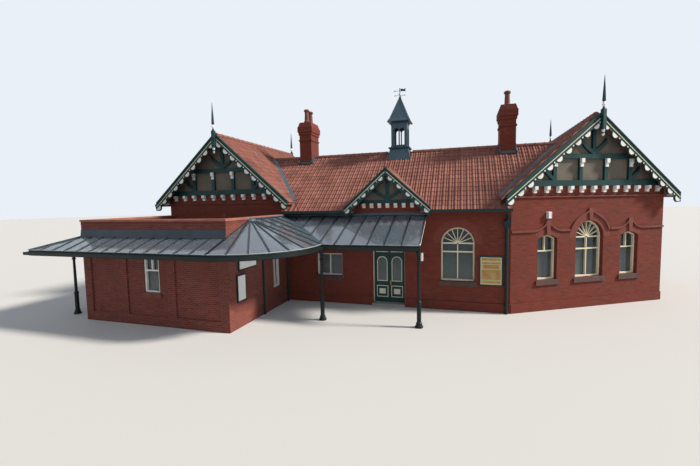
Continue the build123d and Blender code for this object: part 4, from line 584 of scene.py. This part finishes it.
# Paint lines, dots and top mouldings of the bargeboards, and the finials' white turnings
gableTrim = {"ridge": 8.19, "board": 0.06, "lobes": 10, "firstDot": 0.22, "dot": 0.36, "dotRadius": 0.03,
             "dotOut": 0.012, "axis": 0.075,
             "top": [(0, 8.365), (0.042, 8.37), (0.042, 8.41), (0.056, 8.43), (0.067, 8.46), (0.056, 8.49),
                     (0.042, 8.51), (0.042, 8.57), (0, 8.575)],
             "drop": [(0, 7.474), (0.064, 7.468), (0.064, 7.4), (0.035, 7.362), (0.05, 7.33), (0.061, 7.28),
                      (0.052, 7.235), (0.023, 7.205), (0, 7.178)]}
plainGable = {"half": house["wingHalf"], "slope": rise["wing"], "out": house["wingOut"]}
skewGable = {"half": 4.382, "slope": rise["wing"] * math.cos(math.radians(house["skewTurn"])),
             "out": house["skewOut"]}
gables = {"leftGable": plainGable, "skewGable": skewGable, "leftRear": plainGable, "rightRear": plainGable}
creamLines, whiteDots, darkLines, whiteTurnings = bmesh.new(), bmesh.new(), bmesh.new(), bmesh.new()
lobeStart = 1.1  # lobes from the ridge to the first dot or stem
# Each line: how far it stops short of the eave, its drop and start from the ridge, its width and relief
boardLines = [(creamLines, 0.04, 0.22, 0.09, 0.032, 0.02), (darkLines, 0.04, 0.035, 0.0, 0.07, 0.035),
              (darkLines, 0.02, 0.15, 0.09, 0.03, 0.012)]


def boardLine(half, slope, ridge, drop, side, start):
    return [(side * start, ridge - drop - slope * start), (side * half, ridge - drop - slope * half)]


def trimGable(place, half, slope, out):
    face, ridge, lobes = -(out + gableTrim["board"]), gableTrim["ridge"], gableTrim["lobes"]
    for side in (-1, 1):
        for lines, short, drop, start, width, relief in boardLines:
            path = boardLine(half - short, slope, ridge, drop, side, start)
            addMoulding(lines, path, bead(width, face, relief), place)
        for i in range(lobes - 1):
            along = half / lobes * (i + lobeStart if i else gableTrim["firstDot"])
            level = ridge - slope * along - gableTrim["dot"]
            addRod(whiteDots, (side * along, face, level), (side * along, face - gableTrim["dotOut"], level),
                   gableTrim["dotRadius"], place=place)
    for profile in (gableTrim["top"], gableTrim["drop"]):
        addLathe(whiteTurnings, profile, 0, face - gableTrim["axis"], place)


for name, gable in gables.items():
    trimGable(places[name], **gable)

smallGable = {"half": 1.9, "slope": rise["gable"], "ridge": 6.16, "line": 0.17, "short": 0.03,
              "stem": (0.06, 0.1), "lobes": 5, "face": -0.49, "backing": 0.36, "infill": (4.765, 5.98),
              "sheet": 0.02}


def trimSmallGable(half, slope, ridge, line, short, stem, lobes, face, backing, infill, sheet):
    for side in (-1, 1):
        addMoulding(creamLines, boardLine(half - short, slope, ridge, line, side, short),
                    bead(0.03, face, 0.018))
        addMoulding(darkLines, boardLine(half, slope, ridge, 0.03, side, 0.0), bead(0.055, face, 0.03))
        addMoulding(darkLines, boardLine(half - short, slope, ridge, backing, side, 0.0),
                    flatSection(0.07, face + 0.05, face + 0.01))
        for i in range(lobes - 1):
            along = half / lobes * (i + lobeStart)
            foot = ridge - slope * along - line
            addMoulding(creamLines, [(side * along, foot), (side * (along - stem[0]), foot - stem[1])],
                        bead(0.024, face, 0.014))
    low, high = infill
    reach = (high - low) / slope
    bm = bmesh.new()
    addPrism(bm, [(-reach, low), (reach, low), (0, high)], -sheet, 0.0)
    finishPiece(bm, "entranceGableInfill", "render")


trimSmallGable(**smallGable)
finishPiece(creamLines, "bargeboardCreamLines", "cream_paint")
finishPiece(darkLines, "bargeboardMouldings", "joinery_green")
finishPiece(whiteDots, "bargeboardDots", "white_paint")
finishPiece(whiteTurnings, "finialTurnings", "white_paint", smooth=True)
print("gables trimmed")

# Lead and iron over the canopy's glass: caps on each bar, the valley, hips and edges; and pale strips along
# the glass's outer edges, a painted highlight
canopy = {"left": -13.2, "right": 1.7, "front": -6.01, "low": 3.05, "wallX": house["lowX"],
          "wallY": house["lowY"], "coneY": -3.25, "radius": 2.76, "depth": 2.6, "slope": 0.38,
          "lowEnd": -11.88, "gap": 0.65, "cap": (0.05, 0.028), "edge": 0.012, "lap": 0.03,
          "knob": [(0, 0.15), (0.04, 0.12), (0.06, 0.06), (0.14, 0.02), (0, 0.02)],
          "apex": [(0, 0.07), (0.1, 0.05), (0.22, -0.02), (0.24, -0.06), (0, -0.06)]}


def glazeCanopy(left, right, front, low, wallX, wallY, coneY, radius, depth, slope, lowEnd, gap, cap, edge,
                lap, knob, apex):
    top, lowTop, sideX = low + slope * radius, low + slope * (wallY - front), wallX + radius
    leftRun, frontRun = lowEnd - left, wallY - front
    barCaps, leadLines, paintedEdgeHighlights = bmesh.new(), bmesh.new(), bmesh.new()
    for x in spread(wallX, left, gap)[:-1]:  # bars in front of the low building
        part = min(1, (x - left) / leftRun)
        addBar(barCaps, (x, front, low), (x, front + frontRun * part, low + (lowTop - low) * part), *cap)
    for y in spread(0, front, gap)[:-1]:  # bars past its far end
        part = min(1, (y - front) / frontRun)
        addBar(barCaps, (left, y, low), (left + leftRun * part, y, low + (lowTop - low) * part), *cap)
    addBar(leadLines, (left, front, low), (lowEnd, wallY, lowTop), 0.1, 0.04)
    for i in range(7):  # bars of the quarter cone round its corner
        turn, peak = math.radians(-90 + 15 * i), Vector((wallX, coneY, top))
        way = Vector((math.cos(turn), math.sin(turn), -slope))
        addBar(barCaps, peak + way * (radius - 0.005), peak + way * 0.12, *cap)
    for y in spread(coneY, 0, gap)[1:-1]:  # bars beside it
        part = min(1, max(0, (y + depth) / depth))
        addBar(barCaps, (sideX - radius * part, y, low + (top - low) * part), (wallX, y, top), *cap)
    for x in spread(right - 0.0225, wallX, gap)[:-1]:  # bars in front of the middle range
        part = min(1, max(0, (sideX - x) / radius))
        addBar(barCaps, (x, -depth * (1 - part), low + (top - low) * part), (x, 0, top), *cap)
    addBar(leadLines, (sideX, -depth, low), (wallX, 0, top), 0.16, 0.022)
    addBar(leadLines, (wallX, -lap, top), (right, -lap, top), 0.14, 0.05)
    addBar(leadLines, (wallX + lap, coneY, top), (wallX + lap, 0, top), 0.12, 0.045)
    for profile, x, y in ((knob, wallX + lap, -0.2), (apex, wallX, coneY)):
        addLathe(leadLines, [(reach, top + level) for reach, level in profile], x, y)
    # Pale strips along the glass's outer edges: a painted highlight there
    runs = [((left, front + edge), (wallX, front + edge)), ((left + edge, front), (left + edge, 0)),
            ((sideX - edge, coneY), (sideX - edge, -depth)), ((sideX, edge - depth), (right, edge - depth))]
    reach, turns = radius - edge, [math.radians(-90 + 90 * i / 24) for i in range(25)]
    arc = [(wallX + reach * math.cos(turn), coneY + reach * math.sin(turn)) for turn in turns]
    for start, end in runs + list(zip(arc, arc[1:])):
        addBar(paintedEdgeHighlights, (*start, low + 0.004), (*end, low + 0.004), 0.03, 0.016)
    finishPiece(paintedEdgeHighlights, "canopyEdgeHighlights", "canopyEdge")
    finishPiece(barCaps, "canopyBarCaps", "canopy_bars")
    finishPiece(leadLines, "canopyLead", "lead")


glazeCanopy(**canopy)
print("canopy glazed")

# Lead in the valleys and round the chimneys
leadWork = {"footX": 4.63, "footY": 0.243, "joinX": 7.462, "chimneyX": 5.22, "cheek": (0.37, 0.62),
            "apron": (0.42, 0.58)}


def layLead(footX, footY, joinX, chimneyX, cheek, apron):
    ridge, slope, bm = house["ridge"], rise["main"], bmesh.new()
    for side in (-1, 1):
        for y in (footY, depth - footY):
            addBar(bm, (side * footX, y, house["wingEave"]), (side * joinX, middle, ridge), 0.2, 0.05)
        for edge in (-1, 1):
            x, foot = side * chimneyX + edge * cheek[0], ridge - cheek[1] * slope
            for run in (-1, 1):
                addBar(bm, (x, middle + run * cheek[1], foot), (x, middle, ridge), 0.06, 0.16)
            y, z = middle + edge * apron[1], ridge - apron[1] * slope
            addBar(bm, (side * chimneyX - apron[0], y, z), (side * chimneyX + apron[0], y, z), 0.1, 0.12)
    finishPiece(bm, "roofLead", "lead")


layLead(**leadWork)

# Entrance leaves: mouldings round the arched lights, framed squares and a handle
doors = {"face": 0.29, "mid": 0.335, "light": 0.222, "foot": 1.088, "spring": 1.97, "square": 0.6,
         "width": 0.5, "inner": (0.29, 0.24)}
handle = {"x": 0.05, "out": 0.25, "back": 0.291, "foot": 0.92, "top": 1.08, "grip": 0.011, "post": 0.009,
          "plate": (0.022, 0.006, 0.02)}


def trimLeaf(side, name, face, mid, light, foot, spring, square, width, inner):
    trim, panel, mid = bmesh.new(), bmesh.new(), side * mid
    addMoulding(trim, archPath(mid, light, foot, spring, light), bead(0.035, face, 0.016), closed=True)
    addFrame(trim, (mid, square, width, width), 0.032, face, 0.014)
    finishPiece(trim, name + "LeafMouldings", "cream_paint", name + "_door")
    wide, high = inner[0] / 2, inner[1] / 2
    addBlock(panel, (mid - wide, face - 0.006, square - high), (mid + wide, face + 0.004, square + high))
    finishPiece(panel, name + "LeafPanel", "board", name + "_door")


def makeHandle(x, out, back, foot, top, grip, post, plate):
    wide, thick, past = plate
    bm = bmesh.new()
    addRod(bm, (x, out, foot), (x, out, top), grip)
    for z in (foot + past, top - past):
        addRod(bm, (x, out, z), (x, back, z), post)
    addBlock(bm, (x - wide, back - thick, foot - past), (x + wide, back, top + past))
    finishPiece(bm, "rightLeafHandle", "brass", "right_door")


for side, name in ((-1, "left"), (1, "right")):
    trimLeaf(side, name, **doors)

# Windows by wall, each with its middle, width, foot, top and the rise of its arch
wingWindows = [(-2.11, 0.95, 1.29, 3.18, 0.15), (0, 1.42, 1.29, 3.73, 0.71), (2.11, 0.95, 1.29, 3.18, 0.15)]
windows = {"front": [(2.975, 1.37, 1.25, 3.55, 0.685), (-2.81, 1.28, 1.28, 2.33, 0)],
           "rear": [(x, 1.37, 1.25, 3.55, 0.685) for x in (-2.975, 0, 2.975)],
           "skewGable": [(mid - 0.05, *rest) for mid, *rest in wingWindows],
           "leftRear": wingWindows, "rightRear": wingWindows,
           "leftSide": [(-y, 0.95, 1.29, 3.18, 0.15) for y in (2.1, 5.2)],
           "rightSide": [(y, 0.95, 1.29, 3.18, 0.15) for y in (5.6, 7.7)],
           "lowFront": [(-8.43, 0.74, 1.31, 2.69, 0)], "flank": [(-1.2, 0.7, 0.9, 2.43, 0)]}
joinery = {"face": 0.17, "lowFace": 0.11, "insets": (0.014, 0.056), "bar": 0.022, "out": 0.012, "hub": 0.085,
           "brick": 0.075, "ring": 0.335, "flatRing": 0.68, "flatArch": 0.3, "proud": 0.005, "joint": 0.006}


def headCircle(width, top, arch):
    radius = (width * width / 4 + arch * arch) / (2 * arch)
    return radius, top - radius


def windowPath(window, inset):
    mid, width, foot, top, arch = window
    half = width / 2 - inset
    if not arch:
        return boxPath(mid, (foot + top) / 2, 2 * half, top - foot - 2 * inset)
    radius, centre = headCircle(width, top, arch)
    radius -= inset
    sweep = math.asin(min(1, half / radius))
    turns = [sweep * (i / 10 - 1) for i in range(21)]
    arc = [(mid + radius * math.sin(turn), centre + radius * math.cos(turn)) for turn in turns]
    return [(mid - half, foot + inset)] + arc + [(mid + half, foot + inset)]


# Voussoirs over an arched window, cut apart by open joints
def addVoussoirs(bm, window, place):
    mid, width, foot, top, arch = window
    radius, centre = headCircle(width, top, arch)
    sweep = math.asin(min(1, width / 2 / radius))
    count = round(2 * sweep * radius / joinery["brick"])
    inner = radius + 0.001
    outer = radius + joinery["ring"] * (joinery["flatRing"] if arch < joinery["flatArch"] else 1)
    gap = joinery["joint"] / 2 / radius
    for i in range(count):
        start, end = sweep * (2 * i / count - 1) + gap, sweep * (2 * (i + 1) / count - 1) - gap
        corners = [(mid + reach * math.sin(turn), centre + reach * math.cos(turn))
                   for reach, turn in ((inner, start), (outer, start), (outer, end), (inner, end))]
        addPrism(bm, corners, -joinery["proud"], 0.001, place)


# The half disc and boss that a round window's glazing bars spring from
def addHub(mid, spring, face, place):
    hub, turns = joinery["hub"], [math.pi * i / 12 for i in range(13)]
    outline = [(mid + hub * math.cos(turn), spring + 0.02 + hub * math.sin(turn)) for turn in turns]
    addPrism(beads, outline, face - 0.014, face + 0.002, place)
    addRod(hubs, (mid, face - 0.013, spring), (mid, face - 0.026, spring), 0.03, place=place)


arches, beads, hubs = bmesh.new(), bmesh.new(), bmesh.new()
for wall, group in windows.items():
    place = places[wall]
    face = joinery["lowFace" if wall in ("lowFront", "flank") else "face"]
    for window in group:
        for inset in joinery["insets"]:
            addMoulding(beads, windowPath(window, inset), bead(joinery["bar"], face, joinery["out"]), place,
                        closed=True)
        mid, width, foot, top, arch = window
        if arch:
            addVoussoirs(arches, window, place)
        if arch > joinery["flatArch"]:
            addHub(mid, top - arch, face, place)
finishPiece(arches, "windowArches", "rubbedBrick")
finishPiece(beads, "windowMouldings", "windowPaint")
finishPiece(hubs, "fanHubs", "rubbedBrick")

# Mouldings of the panes over the doors, and the strips beside the entrance
entrance = {"face": 0.29, "pane": (0.335, 2.59, 0.52, 0.34), "strip": (0.7, 0.738, 0.2, 0.286, 0.12, 2.62)}
trim = bmesh.new()
for side in (-1, 1):
    mid, level, width, height = entrance["pane"]
    addFrame(trim, (side * mid, level, width, height), 0.03, entrance["face"], 0.014)
    near, far, front, back, low, high = entrance["strip"]
    left, right = sorted((side * near, side * far))
    addBlock(trim, (left, front, low), (right, back, high))
finishPiece(trim, "entranceMouldings", "cream_paint")
makeHandle(**handle)

# Frames and plain panels of the notice boards: wall, middle, level, width, height and finish
boards = [("front", 4.3, 1.75, 0.9, 1.22, "joinery_green"),
          ("flank", -3.595, 2.405, 1.25, 0.43, "iron_green"),
          ("flank", -4.075, 1.525, 0.57, 1.03, "iron_green")]
posterRows = [(0.44, 0.53, 0.1), (0.3, 0.36, 0.1), (0.1, 0.26, 0.14), (-0.36, 0.05, 0.08), (-0.5, -0.42, 0.1)]
boardFace, boardRim = -0.044, 0.04
boardRims = {"joinery_green": bmesh.new(), "iron_green": bmesh.new()}
boardPanels, posterLines, posterBands = bmesh.new(), bmesh.new(), bmesh.new()
for wall, mid, level, width, height, finish in boards:
    place, rims = places[wall], boardRims[finish]
    addFrame(rims, (mid, level, width - boardRim, height - boardRim), 0.05, -0.045, 0.014, place)
    addMoulding(rims, boxPath(mid, level, width + 0.006, height + 0.006), flatSection(0.006, 0, -0.05), place,
                closed=True)
    if wall == "front":
        addFrame(posterLines, (mid, level, width - 0.1, height - 0.1), 0.02, -0.045, 0.008, place)
        for low, high, inset in posterRows:
            wide = width / 2 - inset
            addBlock(posterBands, (mid - wide, -0.049, level + low), (mid + wide, boardFace, level + high),
                     place)
    else:
        wide, high = width / 2 - boardRim, height / 2 - boardRim
        addBlock(boardPanels, (mid - wide, -0.048, level - high), (mid + wide, boardFace, level + high),
                 place)
for finish, bm in boardRims.items():
    finishPiece(bm, finish.split("_")[0] + "BoardFrames", finish)
finishPiece(boardPanels, "boardPanels", "white_paint")
finishPiece(posterLines, "posterLines", "cream_paint")
finishPiece(posterBands, "posterBands", "posterBand")

# The small lamp on the turned gable: backplate, case, rim and bracket
wallLamp = {"mid": -2.16, "level": 4.01, "blocks": ((0.085, 0.14, -0.02, 0), (0.079, 0.134, -0.122, -0.02)),
            "rim": (0.13, 0.24), "foot": (-0.16, -0.12), "bracket": 0.06}


def makeLamp(mid, level, blocks, rim, foot, bracket):
    bm, place = bmesh.new(), places["skewGable"]
    addFrame(bm, (mid, level, *rim), 0.02, -0.12, 0.01, place)
    for wide, high, front, back in blocks:
        addBlock(bm, (mid - wide, front, level - high), (mid + wide, back, level + high), place)
    addRod(bm, (mid, 0, level + foot[0]), (mid, -bracket, level + foot[1]), 0.012, place=place)
    finishPiece(bm, "lampTrim", "white_paint")


makeLamp(**wallLamp)

# Cupola: rolls on the hips, ledges, mouldings round its openings, and cornices
# A ledge has its half length, which is its distance out too, its level, width and relief
cupola = {"hips": [(0.58, 8.83), (0.462, 9.02), (0.03, 10.12)], "skirt": [(0.64, 6.7), (0.452, 7.44)],
          "roll": 0.02, "half": 0.42, "face": -0.41, "cornices": ((8.76, 0.03), (7.56, 0.02)),
          "ledges": ((0.53, 7.505, 0.022, 0.014), (0.53, 7.465, 0.022, 0.014), (0.585, 8.835, 0.03, 0.005)),
          "opening": (0.15, 0.137, 7.63, 8.365), "sill": (0.145, 0.022, 0.005, 0.025)}
vaneKnobs = {"arm": (0, -0.26, 10.24), "radius": 0.03, "ball": (0, middle, 10.575), "ballRadius": 0.034,
             "turning": [(0, 10.1), (0.045, 10.11), (0.06, 10.15), (0.03, 10.19), (0.012, 10.2), (0, 10.2)]}
hipRolls, lanternTrim, knobs, ball = bmesh.new(), bmesh.new(), bmesh.new(), bmesh.new()


def trimCupolaSide(place, hips, skirt, roll, half, face, cornices, ledges, opening, sill):
    for line in (hips, skirt):
        for (wide, low), (narrow, high) in zip(line, line[1:]):
            addRod(hipRolls, (wide, -wide, low), (narrow, -narrow, high), roll, place=place)
    for reach, level, width, relief in ledges:
        addMoulding(hipRolls, [(-reach, level), (reach, level)], bead(width, -reach, relief), place)
    out, radius, foot, spring = opening
    wide, front, back, high = sill
    for mid in (-out, out):
        path = archPath(mid, radius, foot, spring, radius, 12)
        addMoulding(lanternTrim, path, bead(0.02, face, 0.014), place)
        addBlock(lanternTrim, (mid - wide, face - front, foot - high), (mid + wide, face + back, foot), place)
    for level, relief in cornices:
        addMoulding(lanternTrim, [(-half, level), (half, level)], bead(0.05, face, relief), place)


for turn in range(4):
    place = wallPlace(0, middle, 90 * turn)
    trimCupolaSide(place, **cupola)
    addBall(knobs, vaneKnobs["arm"], vaneKnobs["radius"], place)
addLathe(knobs, vaneKnobs["turning"], 0, middle)
addBall(ball, vaneKnobs["ball"], vaneKnobs["ballRadius"])
finishPiece(hipRolls, "cupolaRolls", "cupola")
finishPiece(lanternTrim, "lanternMouldings", "cupola")
finishPiece(knobs, "compassKnobs", "iron_green", smooth=True)
finishPiece(ball, "vaneBall", "iron_green", "vane", smooth=True)

# Joints of the ridge tiles, and the little ridge of the entrance gable
ridgeTiles = {"gap": 0.45, "band": 0.045, "radius": 0.128, "drop": 0.045,
              "main": ((-7.3, -5.65), (-4.8, -0.75), (0.75, 4.8), (5.65, 7.3)),
              "wings": ((-wingX, -0.44, 7.74), (wingX, 1.78, 9.84))}
smallRidge = {"level": 6.09, "front": -0.43, "rear": 2.05, "radius": 0.085, "bandRadius": 0.098, "band": 0.04,
              "bands": (-0.4, 1.9)}
bands = bmesh.new()


def addBands(start, end, gap, band, radius):
    start, end = Vector(start), Vector(end)
    way = (end - start).normalized()
    for reach in spread(0, (end - start).length, gap):
        spot = start + way * reach
        addRod(bands, spot - way * band / 2, spot + way * band / 2, radius, steps=20)


ridgeSizes = (ridgeTiles["gap"], ridgeTiles["band"], ridgeTiles["radius"])
mainLevel, wingLevel = house["ridge"] - ridgeTiles["drop"], house["wingRidge"] - ridgeTiles["drop"]
for start, end in ridgeTiles["main"]:
    addBands((start, middle, mainLevel), (end, middle, mainLevel), *ridgeSizes)
for x, start, end in ridgeTiles["wings"]:
    addBands((x, start, wingLevel), (x, end, wingLevel), *ridgeSizes)
level = smallRidge["level"]
addRod(bands, (0, smallRidge["front"], level), (0, smallRidge["rear"], level), smallRidge["radius"], steps=20)
start, end = smallRidge["bands"]
addBands((0, start, level), (0, end, level), ridgeTiles["gap"], smallRidge["band"], smallRidge["bandRadius"])
finishPiece(bands, "ridgeBands", "tile")

# Collars and brackets on the pipes, and straps under the front gutters
pipes = {"tall": ((4.885, -0.107, 0), (4.885, 7.407, depth), (-4.885, 7.407, depth)), "tallRadius": 0.06,
         "tallLevels": (0.35, 1.25, 2.15, 3.2), "low": ((-4.865, -2.45), (-4.865, -0.24)), "lowRadius": 0.045,
         "lowLevels": (0.4, 1.4, 2.4), "lowPlate": (-4.905, -4.885), "tallHalf": 0.1, "lowHalf": 0.085,
         "thick": 0.02, "collar": (0.012, 0.035)}
straps = {"half": 0.012, "gap": 0.75, "runs": ((-4.95, -2.0), (2.0, 4.6)),
          "blocks": (((-0.506, 4.196), (-0.3, 4.211)), ((-0.51, 4.196), (-0.5, 4.34)))}
fittings = bmesh.new()


def addCollar(x, y, z, radius):
    proud, half = pipes["collar"]
    addRod(fittings, (x, y, z - half), (x, y, z + half), radius + proud, steps=20)


thick = pipes["thick"]
for x, y, wallY in pipes["tall"]:
    front, back = sorted((y, wallY))
    for z in pipes["tallLevels"]:
        addCollar(x, y, z, pipes["tallRadius"])
        addBlock(fittings, (x - pipes["tallHalf"], front, z - thick),
                 (x + pipes["tallHalf"], back, z + thick))
for x, y in pipes["low"]:
    left, right = pipes["lowPlate"]
    for z in pipes["lowLevels"]:
        addCollar(x, y, z, pipes["lowRadius"])
        addBlock(fittings, (left, y - pipes["lowHalf"], z - thick), (right, y + pipes["lowHalf"], z + thick))
for run in straps["runs"]:
    for x in spread(*run, straps["gap"]):
        for low, high in straps["blocks"]:
            addBlock(fittings, (x - straps["half"], *low), (x + straps["half"], *high))
finishPiece(fittings, "pipeFittings", "iron_green")

# White fittings: a box and hook at the canopy's right end, and the gables' brackets; the white bar along the
# canopy's sloped right edge is a painted highlight of that lit edge
canopyEnd = {"bar": ((1.69, -2.58, 3.058), (1.69, -0.06, 4.02), 0.035, 0.03),
             "box": ((1.72, -2.6, 2.5), (1.79, -2.46, 2.78)),
             "hook": ((1.74, -2.56, 2.78), (1.66, -2.56, 2.86), 0.014)}
gableBracket = {"near": 0.46, "far": 0.28, "front": -0.3, "back": -0.12, "low": 4.72, "high": 4.84}
paleTrim = bmesh.new()
# The bar's white paints the light on the canopy's lit right edge
addBar(paleTrim, *canopyEnd["bar"])
addBlock(paleTrim, *canopyEnd["box"])
addRod(paleTrim, *canopyEnd["hook"])
for name, gable in gables.items():
    for side in (-1, 1):
        left, right = sorted(side * (gable["half"] - gableBracket[key]) for key in ("near", "far"))
        addBlock(paleTrim, (left, gableBracket["front"], gableBracket["low"]),
                 (right, gableBracket["back"], gableBracket["high"]), places[name])
finishPiece(paleTrim, "paleFittings", "white_paint")

# Curved undersides in the steps of the corbels and consoles
# A wing has its count and spacing of corbels and the spacing of its consoles
plainWing = (11, 0.585, 1.1466)
corbels = {"half": 0.066, "wings": {"leftGable": plainWing, "skewGable": (13, 0.5745, 1.2764),
                                    "leftRear": plainWing, "rightRear": plainWing},
           "corbel": (0.088, 0.09, 5.057, 0.115), "console": (0.108, 0.058, 6.162, 0.14),
           "small": (0.058, 0.048, 4.512, 0.075), "smallGap": 0.36}
coves = bmesh.new()


def addCove(x, kind, place):
    base, out, level, drop = corbels[kind]
    turns = [math.pi / 2 * i / 6 for i in range(7)]
    curve = [(-base - out * (1 - math.sin(turn)), level - drop * (1 - math.cos(turn))) for turn in turns]
    turned = place @ Matrix.Translation((x, 0, 0)) @ Matrix.Rotation(math.pi / 2, 4, "Z")
    addPrism(coves, [(-base, level)] + curve, -corbels["half"], corbels["half"], turned)


for name, (count, gap, studGap) in corbels["wings"].items():
    for i in range(count):
        addCove((i - (count - 1) / 2) * gap, "corbel", places[name])
    for i in (-1.5, -0.5, 0.5, 1.5):
        addCove(i * studGap, "console", places[name])
for i in range(-3, 4):
    addCove(i * corbels["smallGap"], "small", places["front"])
finishPiece(coves, "corbelCoves", "white_paint")

# Moulded courses round the low building's parapet
courses = {"levels": ((4.035, 4.06), (3.985, 4.01)), "left": -11.892, "right": -4.898, "front": -4.862,
           "thick": 0.013}


def layCourses(levels, left, right, front, thick):
    bm = bmesh.new()
    for low, high in levels:
        addBlock(bm, (left, front, low), (right, front + thick, high))
        for x in (right - thick, left):
            addBlock(bm, (x, front, low), (x + thick, 0, high))
    finishPiece(bm, "parapetCourses", "mouldedBrick")


layCourses(**courses)
print("walls trimmed")

# Plain floor
stage = {"radius": 220, "drop": 0.002, "colour": (0.5, 0.49, 0.475, 1), "roughness": 0.9}
bm = bmesh.new()
bmesh.ops.create_circle(bm, cap_ends=True, segments=96, radius=stage["radius"])
floorMesh = bpy.data.meshes.new("ground")
bm.to_mesh(floorMesh)
bm.free()
ground = bpy.data.objects.new("ground", floorMesh)
bpy.context.scene.collection.objects.link(ground)
ground.location = (0, 0, -stage["drop"])
groundMat, tree, shader, coords = startMaterial("paleGround")
shader.inputs["Base Color"].default_value = stage["colour"]
shader.inputs["Roughness"].default_value = stage["roughness"]
floorMesh.materials.append(groundMat)

# The sky that lights the scene is dimmer than the one that the camera, glass and gloss see
skies = {"lighting": ((0.8, 0.88, 1.0, 1), 0.45), "seen": ((0.82, 0.87, 0.93, 1), 1.0)}
world = bpy.data.worlds.new("studio")
bpy.context.scene.world = world
world.use_nodes = True
tree = world.node_tree
tree.nodes.clear()
rays = tree.nodes.new("ShaderNodeLightPath").outputs
seen = mathNode(tree, "MAXIMUM", rays["Is Camera Ray"], rays["Is Glossy Ray"])
seen = mathNode(tree, "MAXIMUM", seen, rays["Is Transmission Ray"])
choose = tree.nodes.new("ShaderNodeMixShader")
output = tree.nodes.new("ShaderNodeOutputWorld")
tree.links.new(seen, choose.inputs[0])
for i, (colour, strength) in enumerate(skies.values()):
    sky = tree.nodes.new("ShaderNodeBackground")
    sky.inputs[0].default_value = colour
    sky.inputs[1].default_value = strength
    tree.links.new(sky.outputs[0], choose.inputs[i + 1])
tree.links.new(choose.outputs[0], output.inputs[0])

lamps = {"key": {"turn": (54, 0, 98), "energy": 6.0, "angle": 8, "colour": (1.0, 0.94, 0.86)},
         "fill": {"turn": (58, 0, 5), "energy": 0.4, "angle": 60, "colour": (0.94, 0.97, 1.0)}}
for name, lamp in lamps.items():
    light = bpy.data.lights.new(name, "SUN")
    light.energy = lamp["energy"]
    light.angle = math.radians(lamp["angle"])
    light.color = lamp["colour"]
    lampObject = bpy.data.objects.new(name, light)
    lampObject.rotation_euler = [math.radians(turn) for turn in lamp["turn"]]
    bpy.context.scene.collection.objects.link(lampObject)

# The photograph's own view
camera = {"lens": 18.857, "shift": -0.0038, "reach": 600, "place": (3.1735, -16.03, 4.6758),
          "turn": (85.687, 1.096, 17.037)}
viewer = bpy.data.cameras.new("viewer")
viewer.lens = camera["lens"]
viewer.shift_y = camera["shift"]
viewer.clip_end = camera["reach"]
viewerObject = bpy.data.objects.new("viewer", viewer)
viewerObject.location = camera["place"]
viewerObject.rotation_euler = [math.radians(turn) for turn in camera["turn"]]
bpy.context.scene.collection.objects.link(viewerObject)
bpy.context.scene.camera = viewerObject
bpy.context.scene.view_settings.view_transform = "Standard"

print("scene ready")
